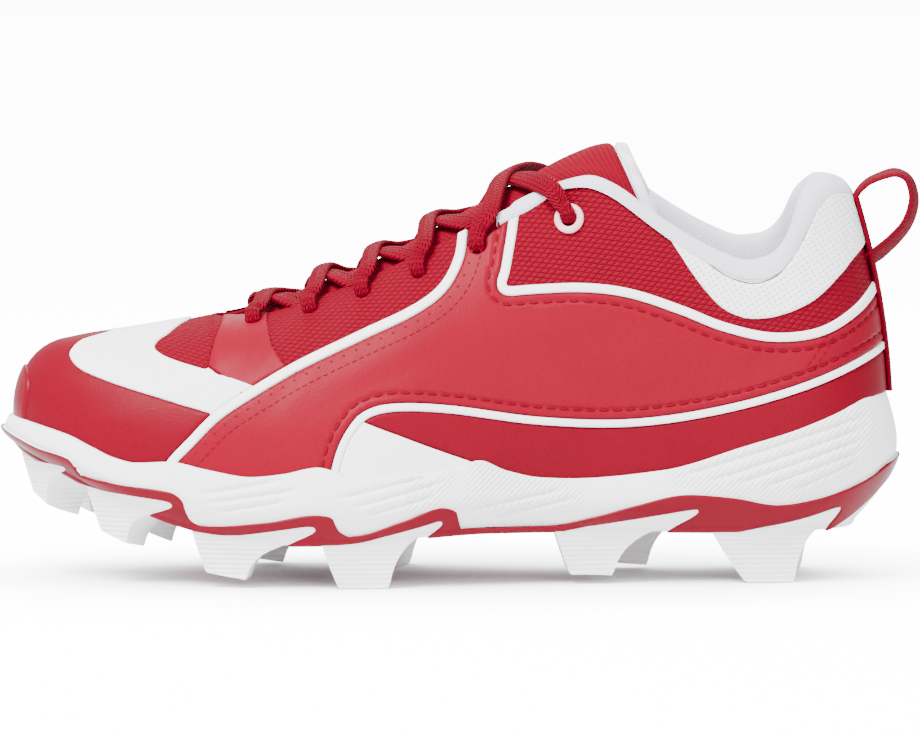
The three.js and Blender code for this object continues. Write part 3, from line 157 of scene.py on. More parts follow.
STUDS = [
    ("toe", 0.006, 0.058, 0.014, 0.034, 0.038, 0.25),
    ("front", 0.09, 0.168, 0.102, 0.134, 0.038, 0.25),
    ("ball_front", 0.212, 0.32, 0.226, 0.272, 0.036, 0.28),
    ("ball_rear", 0.358, 0.468, 0.378, 0.436, 0.024, 0.28),
    ("heel_front", 0.617, 0.726, 0.636, 0.682, 0.038, 0.28),
    ("heel_rear", 0.787, 0.912, 0.827, 0.885, 0.022, 0.3),
]
GROOVES = [(0.225, 0.63, 0.31, 0.81), (0.236, 0.52, 0.332, 0.7), (0.248, 0.41, 0.318, 0.55),
           (0.381, 0.6, 0.494, 0.92), (0.396, 0.48, 0.49, 0.78), (0.408, 0.37, 0.48, 0.6),
           (0.516, 0.41, 0.622, 0.66), (0.543, 0.31, 0.636, 0.55), (0.753, 0.81, 0.96, 1.6),
           (0.784, 0.75, 0.96, 1.45), (0.814, 0.72, 0.958, 1.3), (0.846, 0.69, 0.954, 1.14),
           (0.878, 0.64, 0.95, 1.01)]

# Lines of the upper in the side view: share of the length, and millimetres above the ground

FRONT_LINE = [(0.178, 31), (0.193, 39.1), (0.216, 46.2), (0.245, 54.4), (0.286, 62.1), (0.336, 70.3),
              (0.405, 79.7), (0.456, 86.6), (0.488, 93), (0.506, 101), (0.513, 110), (0.515, 128)]
WINDOW_LINE = [(0.575, 140), (0.571, 119.4), (0.561, 101), (0.556, 95.6), (0.5625, 93.2), (0.59, 93.7),
               (0.648, 94.3), (0.699, 92.4), (0.754, 87.2), (0.8, 82), (0.854, 78.6), (0.906, 80),
               (0.946, 86), (0.975, 94), (1.02, 108)]
GUARD_LINE = [(1.03, 84), (0.985, 75), (0.9, 64), (0.8, 55.8), (0.7, 51.6), (0.6, 52.4), (0.5, 56.4),
              (0.44, 57.2), (0.408, 55), (0.391, 50), (0.379, 43), (0.371, 34)]
WEDGE_TOP = [(0.38, 57), (0.4, 53.4), (0.418, 51.2), (0.444, 48.4), (0.48, 44.4), (0.54, 38), (0.58, 33)]
LINING_SEAM = [(0.5, 104), (0.53, 109), (0.56, 114.6), (0.588, 118.6), (0.622, 124.8), (0.65, 127),
               (0.685, 123.6), (0.709, 119.2), (0.741, 111.4), (0.774, 104.4), (0.8, 98.6), (0.827, 95.8),
               (0.846, 96.4), (0.864, 99.6), (0.888, 109.8), (0.901, 118.6), (0.917, 124.2),
               (0.934, 125.4), (0.95, 122.5), (1.02, 110)]
PATCH = [(0.232, 69.5), (0.2385, 77), (0.246, 84), (0.254, 90), (0.3, 90), (0.296, 84), (0.303, 76),
         (0.318, 70), (0.33, 66.5), (0.29, 59)]
ANKLE_LINE = [(0.722, 120), (0.738, 111), (0.754, 103.8), (0.772, 96.2), (0.794, 88.9), (0.812, 85.8),
              (0.831, 84.4), (0.863, 85.4), (0.901, 90.1), (0.933, 98.4), (0.951, 104), (1.02, 122)]
COUNTER_LINE = [(0.916, 78.2), (0.908, 74), (0.896, 69.2)]
# The toe band in the side view, and where its edges cross the ridge, down from it in millimetres
BAND_FRONT = [(0.262, 46), (0.239, 54.1), (0.201, 57.7), (0.138, 62.8), (0.107, 65.6), (0.089, 67.8),
              (0.079, 70.2), (0.0765, 72.6), (0.086, 75.5), (0.102, 77.6)]
BAND_REAR = [(0.31, 58), (0.288, 63.0), (0.25, 66.7), (0.2, 70.5), (0.18, 72.6), (0.172, 74.6), (0.176, 76.8),
             (0.186, 78.6)]
FRONT_CROSSING = [(0.113, 7), (0.121, 3), (0.1235, 0), (0.1235, -30)]
REAR_CROSSING = [(0.1985, 8), (0.2065, 3.5), (0.209, 0), (0.209, -30)]
# How near the ridge an edge of the band leaves its drawn line for its crossing
BAND_CROSSING = 10.0
# The lower edge of the red side band
BAND_LOW = [(-0.03, 46), (0.003, 43.6), (0.013, 42), (0.031, 38.9), (0.052, 37.6), (0.066, 37.4),
            (0.0735, 36.8), (0.071, 35.4), (0.056, 34.6), (0.066, 34), (0.092, 31.7), (0.118, 30),
            (0.144, 29.2), (0.183, 27.8), (0.194, 26.8), (0.191, 25.2), (0.167, 22.6), (0.176, 21.6),
            (0.208, 18.8), (0.228, 17.6), (0.259, 16.8), (0.298, 18.2), (0.343, 20.1), (0.352, 19.3),
            (0.347, 17.6), (0.319, 13.2), (0.361, 13.2), (0.386, 14.2), (0.411, 15.4), (0.467, 19.7),
            (0.487, 21.4), (0.4905, 20.6), (0.486, 19), (0.471, 15), (0.498, 15), (0.604, 15),
            (0.628, 17.4), (0.7, 20.8), (0.765, 23.9), (0.772, 23.4), (0.767, 21.8), (0.734, 15),
            (0.793, 15.4), (0.835, 17.4), (0.886, 20.4), (0.926, 23.8), (0.931, 23.2), (0.928, 21.6),
            (0.914, 15.8), (0.938, 19.2), (0.965, 25.1), (0.994, 32.6), (1.03, 41)]

# Creases: place, height, length, width, angle and depth
CREASES = [(0.29, 74, 26, 3.2, 62, 0.3), (0.335, 70, 30, 3.6, 58, 0.34), (0.25, 66, 22, 3.4, 40, 0.22),
           (0.43, 66, 40, 6, 24, 0.35), (0.62, 76, 44, 7, 8, 0.3), (0.7, 106, 22, 4, -38, 0.35),
           (0.66, 64, 50, 8, -12, 0.25), (0.84, 70, 34, 6, 30, 0.3), (0.12, 58, 26, 6, 14, 0.2)]


def smooth(xs, ys):
    """A curve through a table's column that never overshoots its rows."""
    slope = np.diff(ys) / np.diff(xs)
    before = np.concatenate([slope[:1], slope])
    after = np.concatenate([slope, slope[-1:]])
    total = np.where(before + after == 0, 1, before + after)
    tangent = np.where(before * after <= 0, 0, 2 * before * after / total)

    def value(at):
        at = np.clip(np.asarray(at, float), xs[0], xs[-1])
        i = np.clip(np.searchsorted(xs, at) - 1, 0, len(xs) - 2)
        step = xs[i + 1] - xs[i]
        u = (at - xs[i]) / step
        start = (1 + 2 * u) * (1 - u) ** 2 * ys[i] + u * (1 - u) ** 2 * step * tangent[i]
        end = u * u * (3 - 2 * u) * ys[i + 1] + u * u * (u - 1) * step * tangent[i + 1]
        return start + end

    return value


def column(table, name):
    return smooth(table["at"], table[name])


def stack(table, name):
    share = column(table, name)
    return lambda at: STUD_HEIGHT + SOLE_STACK * share(at)


sole_face, pocket_floor = stack(BOTTOM, "face"), stack(BOTTOM, "pocket")
bite_line, band_line = stack(BITE, "height"), stack(BAND, "height")
tip_share = column(BOTTOM, "tip")
plan_outer, plan_inner = column(PLAN, "outer"), column(PLAN, "inner")
foot_inset, lip_inset = column(SIDE, "foot"), column(SIDE, "lip")


def turn(at):
    return np.arccos(1 - 2 * np.clip(at, 0, 1))


def plan_point(angle, side):
    at = (1 - np.cos(angle)) / 2
    width = np.where(side < 0, plan_outer(at), plan_inner(at))
    return np.stack([at * SOLE_LENGTH, side * width * BALL_WIDTH * np.sin(angle)], -1)


def plan_normal(at, side):
    angle, step = turn(at), 0.01
    middle = np.clip(angle, step, math.pi - step)
    edge = plan_point(middle + step, side) - plan_point(middle - step, side)
    normal = np.stack([-side * edge[..., 1], side * edge[..., 0]], -1)
    normal /= np.linalg.norm(normal, axis=-1, keepdims=True)
    ends = np.stack([np.where(angle < 1, -1.0, 1.0), np.zeros_like(angle)], -1)
    at_end = ((angle < step) | (angle > math.pi - step))[..., None]
    return np.where(at_end, ends, normal)


def outline(at, side, inset, height):
    at, side = np.broadcast_arrays(np.asarray(at, float), np.asarray(side, float))
    flat = plan_point(turn(at), side) - plan_normal(at, side) * np.asarray(inset)[..., None]
    return np.concatenate([flat, np.broadcast_to(height, at.shape)[..., None]], -1)


def scaled(table, width, height):
    out = dict(table)
    out["open"] = table["open"] * width
    out["outer"], out["inner"] = table["outer"] * height, table["inner"] * height
    return out


_vamp, _collar = scaled(VAMP, THROAT_WIDTH, INSTEP_HEIGHT), scaled(COLLAR, BALL_WIDTH, HEEL_HEIGHT)
UPPER = {name: np.concatenate([_vamp[name], _collar[name]]) for name in _vamp}
section = {name: column(UPPER, name) for name in ("to", "open", "outer", "inner")}
section.update({name: column(FULLNESS, name) for name in ("rise", "belly", "arch", "reach", "drop")})
RIDGE_END = 0.232


def ridge_lean(at):
    return BALL_WIDTH * 0.02 * np.maximum(0, 1 - at / 0.4)


def section_handles(at, side):
    at, side = np.broadcast_arrays(np.asarray(at, float), np.asarray(side, float))
    start = outline(at, side, np.full(at.shape, RAND), pocket_floor(at) + GAP)
    opening = np.where(at <= RIDGE_END, 0, section["open"](at))
    height = np.where(side < 0, section["outer"](at), section["inner"](at))
    end = np.stack([section["to"](at) * SOLE_LENGTH, side * opening + ridge_lean(at),
                    STUD_HEIGHT + height], -1)
    rise = end[..., 2] - start[..., 2]
    swell = BALL_WIDTH * np.where(side < 0, section["belly"](at), section["arch"](at))
    normal = plan_normal(at, side)
    first = start.copy()
    first[..., :2] += normal * swell[..., None]
    first[..., 2] += section["rise"](at) * rise
    reach, drop = section["reach"](at), section["drop"](at)
    second = end + (start - end) * reach[..., None]
    second[..., :2] += normal * (swell * drop)[..., None]
    second[..., 2] = end[..., 2] - drop * rise
    return start, first, second, end


def skin_point(at, side, up):
    a, b, c, d = section_handles(at, side)
    up = np.asarray(up, float)[..., None]
    return (1 - up) ** 3 * a + 3 * up * (1 - up) ** 2 * b + 3 * up ** 2 * (1 - up) * c + up ** 3 * d


def unit(v):
    return v / np.maximum(np.linalg.norm(v, axis=-1, keepdims=True), 1e-9)


def skin_frame(at, side, up):
    """Place and outward direction on the upper's surface."""
    at, side, up = np.broadcast_arrays(*(np.asarray(v, float) for v in (at, side, up)))
    step = 0.002

    def across(place):
        station = np.full(at.shape, place)
        return (skin_point(station, INNER, up) - skin_point(station, OUTER, up)) * side[..., None]

    climb = skin_point(at, side, np.minimum(up + step, 1)) - skin_point(at, side, np.maximum(up - step, 0))
    along = skin_point(np.minimum(at + step, 1), side, up) - skin_point(np.maximum(at - step, 0), side, up)
    along = np.where((at < step)[..., None], across(step), along)
    along = np.where((at > 1 - step)[..., None], -across(1 - step), along)
    normal = unit(np.cross(along, climb)) * -side[..., None]
    ridge_fore = skin_point(np.maximum(at - step, 0), side, np.ones_like(up))
    ridge = skin_point(np.maximum(at, step) + step, side, np.ones_like(up)) - ridge_fore
    crest = unit(np.stack([-ridge[..., 2], np.zeros_like(at), ridge[..., 0]], -1))
    on_crest = ((at <= RIDGE_END) & (up >= 1))[..., None]
    return skin_point(at, side, up), np.where(on_crest, crest, normal)


def skin(at, side, up, offset):
    point, normal = skin_frame(at, side, up)
    return point + normal * np.asarray(offset, float)[..., None]


# From the shoe's frame to the row's

_toe_x = float(np.min(BALL_WIDTH * foot_inset(0) * max(0, 1 - 0.45 / 0.55) ** 1.6))
SHIFT = np.array([
    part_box("midsole")[0].x * 1000 - min(_toe_x, BALL_WIDTH * 0.012 * (0.15 / 0.4) ** 1.5),
    (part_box("heel_webbing")[0].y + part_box("heel_webbing")[1].y) * 500,
    0.0,
])


def metres(points):
    return (np.asarray(points, float) + SHIFT) * 0.001


# Meshes from grids, with panels cut out of them along drawn lines


class Sheet:
    """A surface as points, outward directions, a flat (u, v) place in millimetres, and faces."""

    def __init__(self, points, normals, flat, faces):
        self.points, self.normals, self.flat, self.faces = points, normals, flat, faces

    def rows(self):
        return np.concatenate([self.points, self.normals, self.flat], -1)

    @staticmethod
    def of(data, faces):
        return Sheet(data[:, :3], data[:, 3:6], data[:, 6:8], faces)


def quads(index, closed):
    """Faces between the rows of a grid of point numbers."""
    left, right = (index, np.roll(index, -1, 1)) if closed else (index[:, :-1], index[:, 1:])
    faces = np.stack([left[:-1], right[:-1], right[1:], left[1:]], -1)
    return [tuple(face) for face in faces.reshape(-1, 4).tolist()]


def grid_sheet(points, closed):
    """Points[row, place] as a sheet: rows climb, places run toe, outer side, heel, inner side."""
    count, across = points.shape[:2]
    if closed:
        along = np.roll(points, -1, 1) - np.roll(points, 1, 1)
    else:
        along = np.gradient(points, axis=1)
    climb = np.gradient(points, axis=0)
    normals = unit(np.cross(along, climb))
    steps = np.linalg.norm(np.diff(points, axis=0), axis=-1)
    girth = np.concatenate([np.zeros((1, across)), np.cumsum(steps, 0)])
    flat = np.stack([points[..., 0], girth], -1)
    faces = quads(np.arange(count * across).reshape(count, across), closed)
    return Sheet(points.reshape(-1, 3), normals.reshape(-1, 3), flat.reshape(-1, 2), faces)


def places(count):
    """Stations round the shoe: shares of the length and sides."""
    at = (1 - np.cos(np.pi * np.arange(count + 1) / count)) / 2
    outer = np.full(count + 1, OUTER)
    return np.concatenate([at, at[-2:0:-1]]), np.concatenate([outer, np.full(count - 1, INNER)])


def split(data, faces, field, both=False):
    """Cuts the faces along field = 0. Keeps the side above it, or both sides."""
    field = np.where(np.abs(field) < 1e-7, 1e-7, field)
    above = field > 0
    kept, pairs, made, low_faces = [], [], {}, []
    base = len(data)
    flags = above.tolist()

    def between(a, b):
        key = (a, b) if a < b else (b, a)
        if key not in made:
            made[key] = base + len(pairs)
            pairs.append(key)
        return made[key]

    for face in faces:
        state = [flags[i] for i in face]
        if all(state):
            kept.append(face)
        elif not any(state):
            low_faces.append(face)
        else:
            high, low = [], []
            for k, a in enumerate(face):
                b = face[(k + 1) % len(face)]
                (high if state[k] else low).append(a)
                if state[k] != state[(k + 1) % len(face)]:
                    cut = between(a, b)
                    high.append(cut)
                    low.append(cut)
            kept.append(tuple(high))
            low_faces.append(tuple(low))
    if pairs:
        a, b = np.array(pairs).T
        t = (field[a] / (field[a] - field[b]))[:, None]
        data = np.concatenate([data, data[a] * (1 - t) + data[b] * t])
    return data, (kept + low_faces if both else kept)


def used_only(data, faces):
    index = sorted({i for face in faces for i in face})
    new = {old: k for k, old in enumerate(index)}
    return data[index], [tuple(new[i] for i in face) for face in faces]


def shares(points):
    return np.array([(x * SOLE_LENGTH, z) for x, z in points])


def drawn(line, steps=9):
    """A smooth line through the given places in the side view."""
    points = shares(line)
    ends = np.concatenate([2 * points[:1] - points[1:2], points, 2 * points[-1:] - points[-2:-1]])
    out = []
    for k in range(len(points) - 1):
        a, b, c, d = ends[k:k + 4]
        for t in np.arange(steps) / steps:
            bend, twist = 2 * a - 5 * b + 4 * c - d, 3 * b - a - 3 * c + d
            out.append(0.5 * (2 * b + (c - a) * t + bend * t ** 2 + twist * t ** 3))
    return np.array(out + [points[-1]])


def signed(spots, line):
    """Distance of points from a drawn line, above zero to the left of its way."""
    best = np.full(len(spots), 1e18)
    sign = np.ones(len(spots))
    for a, b in zip(line[:-1], line[1:]):
        ab = b - a
        length = max(float(ab @ ab), 1e-12)
        apart = spots - a
        t = np.clip((apart @ ab) / length, 0, 1)
        square = np.sum((apart - t[:, None] * ab) ** 2, -1)
        nearer = square < best
        best = np.where(nearer, square, best)
        sign = np.where(nearer, np.sign(ab[0] * apart[:, 1] - ab[1] * apart[:, 0]), sign)
    return np.sqrt(best) * np.where(sign == 0, 1, sign)


def distance(spots, line):
    return np.abs(signed(spots, line))


def inside(spots, loop):
    """Signed distance from a closed outline, above zero inside."""
    closed = np.concatenate([loop, loop[:1]])
    x, z = spots[:, 0], spots[:, 1]
    within = np.zeros(len(spots), bool)
    for a, b in zip(closed[:-1], closed[1:]):
        crosses = (a[1] > z) != (b[1] > z)
        reach = (b[0] - a[0]) * (z - a[1]) / np.where(b[1] == a[1], 1e-9, b[1] - a[1]) + a[0]
        within ^= crosses & (x < reach)
    return np.where(within, 1, -1) * distance(spots, closed)


def rounded(share):
    return np.sqrt(np.maximum(0, 1 - (1 - np.clip(share, 0, 1)) ** 2))


# How far outside its outline, in millimetres, a panel's faces are still looked at
REACH = 6


def raised(sheet, fields, thickness, edge=0.7, foot=-0.25, channels=()):
    """The part of a sheet where every field is above zero, raised off it with a rounded edge. Each
    channel is the distance from a line, with the half width and depth of the trough along it."""
    count = len(fields)
    near = np.min(fields, axis=0) > -REACH
    faces = [face for face in sheet.faces if any(near[i] for i in face)]
    columns = [field[:, None] for field in fields] + [line[:, None] for line, _, _ in channels]
    data = np.concatenate([sheet.rows(), *columns], -1)
    for k in range(count):
        data, faces = split(data, faces, data[:, 8 + k])
    data, faces = used_only(data, faces)
    for level in (0.25 * edge, edge):
        for k in range(count):
            data, faces = split(data, faces, data[:, 8 + k] - level, True)
    for k, (_, half, _) in enumerate(channels):
        for level in (-half, -0.55 * half, 0.55 * half, half):
            data, faces = split(data, faces, data[:, 8 + count + k] - level, True)
    border = np.min(data[:, 8:8 + count], axis=1)
    height = foot + (thickness - foot) * rounded(border / edge)
    for k, (_, half, depth) in enumerate(channels):
        height -= depth * np.clip((half - np.abs(data[:, 8 + count + k])) / (0.45 * half), 0, 1)
    data[:, :3] += data[:, 3:6] * height[:, None]
    return Sheet.of(data[:, :8], faces)


def relief(points):
    """Soft troughs between low ridges where the upper creases."""
    shift = np.zeros(points.shape[:-1])
    for at, z, length, width, angle, depth in CREASES:
        turned = math.radians(angle)
        dx, dz = points[..., 0] - at * SOLE_LENGTH, points[..., 2] - z
        along = dx * math.cos(turned) + dz * math.sin(turned)
        across = (dz * math.cos(turned) - dx * math.sin(turned)) / width
        shift -= depth * (1 - 1.3 * across ** 2) * np.exp(-across ** 2) * np.exp(-(along / length * 2) ** 2)
    return shift


# Halvings in a search for a place on the upper, and how near, in millimetres, counts as found
HALVINGS = 18
FOUND = 0.4


def height_on_skin(at, side, height):
    low, high = np.zeros_like(at), np.ones_like(at)
    for _ in range(HALVINGS):
        middle = (low + high) / 2
        below = skin_point(at, side, middle)[..., 2] < height
        low, high = np.where(below, middle, low), np.where(below, high, middle)
    return (low + high) / 2


def creased_skin():
    """The upper's outer surface with its creases, on which the panels are drawn."""
    at, side = places(SKIN_PLACES)
    point, normal = skin_frame(at[None, :], side[None, :], np.linspace(0, 1, SKIN_LEVELS)[:, None])
    sheet = grid_sheet(point + normal * relief(point)[..., None], True)
    sheet.normals = normal.reshape(-1, 3)
    return sheet


SKIN_PLACES, SKIN_LEVELS = ((300, 66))
SKIN = creased_skin()


def on_side(x, z, side):
    """Where places of the side view lie on the upper: shares of length and height, and a hit or miss."""
    x, z = np.asarray(x, float), np.asarray(z, float)
    low, high = np.zeros_like(x), np.ones_like(x)
    for _ in range(HALVINGS):
        at = (low + high) / 2
        up = height_on_skin(at, side, z)
        short = skin_point(at, side, up)[..., 0] < x
        low, high = np.where(short, at, low), np.where(short, high, at)
    at = (low + high) / 2
    up = height_on_skin(at, side, z)
    point = skin_point(at, side, up)
    return at, up, np.hypot(point[..., 0] - x, point[..., 2] - z) < FOUND


def girth_above(at, side, up):
    """Distance over the surface from a place up to the top of its section."""
    total = np.zeros_like(at)
    before = skin_point(at, side, up)
    for share in np.linspace(0, 1, 25)[1:]:
        after = skin_point(at, side, up + (1 - up) * share)
        total += np.linalg.norm(after - before, axis=-1)
        before = after
    return total


def top_girth():
    """Distance of each point of the surface from the top of its own section."""
    girth = SKIN.flat[:, 1].reshape(SKIN_LEVELS, -1)
    return (girth[-1:] - girth).reshape(-1)


# Finishes


def add_node(tree, kind, **values):
    node = tree.nodes.new(kind)
    for name, value in values.items():
        if hasattr(node, name):
            setattr(node, name, value)
        else:
            node.inputs[name].default_value = value
    return node


def maths(tree, operation, *values):
    node = add_node(tree, "ShaderNodeMath", operation=operation)
    for socket, value in zip(node.inputs, values):
        if isinstance(value, (int, float)):
            socket.default_value = value
        else:
            tree.links.new(value, socket)
    return node.outputs[0]


def wave(tree, coordinates, direction, pitch):
    """A wave across a surface: one ridge each pitch along the direction."""
    dot = add_node(tree, "ShaderNodeVectorMath", operation="DOT_PRODUCT")
    dot.inputs[1].default_value = [c * 2 * math.pi / pitch for c in direction]
    tree.links.new(coordinates, dot.inputs[0])
    return maths(tree, "SINE", dot.outputs["Value"])


def noise(tree, coordinates, scale, detail=4.0):
    node = add_node(tree, "ShaderNodeTexNoise", Scale=scale, Detail=detail, Roughness=0.55)
    tree.links.new(coordinates, node.inputs["Vector"])
    return node.outputs["Fac"]


# Scales of the slow change of tone and of the fine change of gloss, and how much the gloss changes
TONE_SCALE, GLOSS_SCALE, GLOSS = 38, 260, 0.05


def finish_of(name, colour, roughness, reliefs, tone=0.06, coat=0.0, sheen=0.0, shine=0.04):
    """A material. reliefs is a list of (height in millimetres, function of tree and coordinates)."""
    material = bpy.data.materials.new(name)
    material.use_nodes = True
    tree = material.node_tree
    shader = tree.nodes["Principled BSDF"]
    place = add_node(tree, "ShaderNodeTexCoord")
    coordinates = {"object": place.outputs["Object"], "uv": place.outputs["UV"]}
    mix = add_node(tree, "ShaderNodeMix", data_type="RGBA")
    dark, light = [socket for socket in mix.inputs if socket.type == "RGBA"]
    dark.default_value = [c * (1 - tone) for c in colour] + [1]
    light.default_value = [min(1, c * (1 + tone)) for c in colour] + [1]
    tree.links.new(noise(tree, coordinates["object"], TONE_SCALE, 5), mix.inputs[0])
    result = next(socket for socket in mix.outputs if socket.type == "RGBA")
    tree.links.new(result, shader.inputs["Base Color"])
    fine = noise(tree, coordinates["object"], GLOSS_SCALE, 3)
    rough = maths(tree, "MULTIPLY_ADD", fine, GLOSS * 2, roughness - GLOSS)
    tree.links.new(rough, shader.inputs["Roughness"])
    for socket, value in (("Specular IOR Level", shine), ("Coat Weight", coat), ("Coat Roughness", 0.3),
                          ("Sheen Weight", sheen), ("Sheen Roughness", 0.5)):
        shader.inputs[socket].default_value = value
    normal = None
    for height, build in reliefs:
        bump = add_node(tree, "ShaderNodeBump", Distance=height * 0.001, Strength=1.0)
        tree.links.new(build(tree, coordinates), bump.inputs["Height"])
        if normal is not None:
            tree.links.new(normal, bump.inputs["Normal"])
        normal = bump.outputs["Normal"]
    if normal is not None:
        tree.links.new(normal, shader.inputs["Normal"])
    return material


def diamonds(first, second):
    """Raised cells between two sets of grooves, each with its direction over its pitch."""
    def build(tree, coordinates):
        a = maths(tree, "ABSOLUTE", wave(tree, coordinates["uv"], (*(c / 2 for c in first), 0), 1))
        b = maths(tree, "ABSOLUTE", wave(tree, coordinates["uv"], (*(c / 2 for c in second), 0), 1))
        return maths(tree, "POWER", maths(tree, "MINIMUM", a, b), 0.5)
    return build


def dots(pitch):
    def build(tree, coordinates):
        a = wave(tree, coordinates["uv"], (1, 0.6, 0), pitch)
        b = wave(tree, coordinates["uv"], (-0.6, 1, 0), pitch)
        both = maths(tree, "MULTIPLY", maths(tree, "MAXIMUM", a, 0.0), maths(tree, "MAXIMUM", b, 0.0))
        return maths(tree, "POWER", both, 1.4)
    return build


def weave(pitch, stretch=1.0):
    def build(tree, coordinates):
        a = wave(tree, coordinates["uv"], (1, 0, 0), pitch)
        b = wave(tree, coordinates["uv"], (0, stretch, 0), pitch)
        return maths(tree, "MULTIPLY", a, b)
    return build


def ribs(direction, pitch, space="uv"):
    """Straight ribs. The flat space is in millimetres, and the object's is in metres."""
    return lambda tree, coordinates: wave(tree, coordinates[space], direction, pitch)


def cloud(scale, detail=4.0):
    return lambda tree, coordinates: noise(tree, coordinates["object"], scale, detail)


def leather(scale):
    def build(tree, coordinates):
        node = add_node(tree, "ShaderNodeTexVoronoi", feature="SMOOTH_F1", Scale=scale)
        tree.links.new(coordinates["object"], node.inputs["Vector"])
        return node.outputs["Distance"]
    return build


def hatch(pitch):
    """Fine slanted lines where the piece's own mask says so."""
    def build(tree, coordinates):
        mask = add_node(tree, "ShaderNodeAttribute", attribute_name="hatch")
        line = wave(tree, coordinates["object"], (700.0, 0, -714.0), pitch)
        across = wave(tree, coordinates["object"], (700.0, 0, 714.0), pitch * 1.6)
        both = maths(tree, "ADD", line, maths(tree, "MULTIPLY", across, 0.35))
        return maths(tree, "MULTIPLY", both, mask.outputs["Fac"])
    return build


def braid(pitch):
    """Herringbone of a braid: u along it, v across it in millimetres from its middle."""
    def build(tree, coordinates):
        parts = add_node(tree, "ShaderNodeSeparateXYZ")
        tree.links.new(coordinates["uv"], parts.inputs[0])
        across = maths(tree, "ABSOLUTE", parts.outputs["Y"])
        slant = maths(tree, "ADD", parts.outputs["X"], across)
        fine = maths(tree, "SINE", maths(tree, "MULTIPLY", slant, 2 * math.pi / pitch))
        rib = maths(tree, "COSINE", maths(tree, "MULTIPLY", parts.outputs["Y"], 2 * math.pi / (pitch * 1.05)))
        return maths(tree, "ADD", fine, maths(tree, "MULTIPLY", rib, 0.5))
    return build


FINISHES = {}


def finishes(colours):
    red, white = tuple(colours.red), tuple(colours.white)
    lining, eyelet = tuple(colours.lining), tuple(colours.eyelet)
    # low is the red darkened as painted shade, for the toe cap and mudguard
    deep, dim, low = (tuple(c * share for c in red) for share in (0.86, 0.8, 0.78))
    hide, pebble = (0.05, leather(1500)), (0.04, leather(1500))
    FINISHES.update({
        "mesh": finish_of("Red textile mesh", deep, 0.62,
                          [(0.5, diamonds((0.12, 0.62), (0.4, -0.38))), (0.04, cloud(900))]),
        "smooth": finish_of("Red coated leather", red, 0.42, [hide, (0.16, cloud(90))], shine=0.06),
        # Painted shade: the red leather made darker for the toe cap and mudguard
        "low": finish_of("Red coated leather with painted shade", low, 0.42, [hide, (0.16, cloud(90))], shine=0.05),
        "white": finish_of("White coated leather", white, 0.45, [pebble, (0.1, cloud(80))], tone=0.015),
        "ankle": finish_of("White embossed leather", white, 0.45, [(0.5, dots(1.9)), pebble], tone=0.015),
        "piping": finish_of("White printed piping", white, 0.4, [(0.03, cloud(700))], tone=0.01, coat=0.05),
        "thread": finish_of("Red thread", dim, 0.6, [(0.03, cloud(2500))]),
        # Painted shade: near-black dots stand in for the shade inside the pin holes, which are not cut
        "hole": finish_of("Pin hole", (0.12, 0.004, 0.012), 0.8, [(0.02, cloud(900))]),
        "foam": finish_of("White moulded foam", white, 0.55, [(0.14, hatch(1.3)), (0.05, cloud(500))],
                          tone=0.012),
        "rubber": finish_of("Red moulded rubber", dim, 0.3, [(0.05, cloud(140)), (0.02, cloud(800))],
                            shine=0.1),
        "stud": finish_of("White moulded stud", white, 0.38,
                          [(0.12, ribs((0, 0, 1000), 1.55, "object")), (0.03, cloud(600))],
                          tone=0.015, coat=0.1),
        "lining": finish_of("Pale knitted lining", lining, 0.85, [(0.16, weave(0.9)), (0.1, cloud(160))],
                            tone=0.03, sheen=0.3),
        "tongue": finish_of("Red ribbed cloth", deep, 0.75,
                            [(0.34, diamonds((0.02, 0.95), (0.62, 0.1))), (0.05, cloud(700))]),
        "webbing": finish_of("Red webbing", deep, 0.6,
                             [(0.16, ribs((0, 1, 0), 1.25)), (0.12, weave(0.8, 1.5))]),
        "lace": finish_of("Red braided lace", red, 0.55, [(0.34, braid(1.45)), (0.05, cloud(1200))]),
        "eyelet": finish_of("Pale pink eyelet", eyelet, 0.3, [(0.02, cloud(300))], tone=0.02, coat=0.4),
    })


# Objects


def make(name, sheets, finish, nodes, hatching=False, weld=False, subdivide=0):
    """One object from sheets, with its flat places as the UV map."""
    points, faces, flat, masks, start = [], [], [], [], 0
    for item in sheets:
        points.append(metres(item.points))
        flat.append(item.flat)
        masks.append(getattr(item, "mask", np.zeros(len(item.points))))
        faces += [tuple(i + start for i in face) for face in item.faces]
        start += len(item.points)
    points, flat, masks = np.concatenate(points), np.concatenate(flat), np.concatenate(masks)
    mesh = bpy.data.meshes.new(name)
    mesh.from_pydata(points.tolist(), [], faces)
    layer = mesh.uv_layers.new(name="Surface")
    loops = np.zeros(len(mesh.loops), np.int32)
    mesh.loops.foreach_get("vertex_index", loops)
    layer.data.foreach_set("uv", flat[loops].astype(np.float32).ravel())
    if hatching:
        attribute = mesh.attributes.new("hatch", "FLOAT", "POINT")
        attribute.data.foreach_set("value", masks.astype(np.float32))
    mesh.polygons.foreach_set("use_smooth", np.ones(len(mesh.polygons), bool))
    mesh.validate()
    mesh.materials.append(FINISHES[finish])
    obj = bpy.data.objects.new(name, mesh)
    bpy.context.scene.collection.objects.link(obj)
    if weld:
        modifier = obj.modifiers.new("Weld", "WELD")
        modifier.merge_threshold = WELD
    if subdivide:
        modifier = obj.modifiers.new("Subdivision", "SUBSURF")
        modifier.levels = modifier.render_levels = subdivide
    settle(obj, nodes)
    return obj


def settle(obj, nodes):
    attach(obj, "root")
    if nodes:
        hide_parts(*nodes)


def outward(points, faces):
    """The faces of a closed form, turned round where its volume comes out below zero."""
    volume = 0.0
    for size in {len(face) for face in faces}:
        corners = points[np.array([face for face in faces if len(face) == size])]
        for k in range(1, size - 1):
            volume += np.sum(corners[:, 0] * np.cross(corners[:, k], corners[:, k + 1]))
    return faces if volume > 0 else [face[::-1] for face in faces]


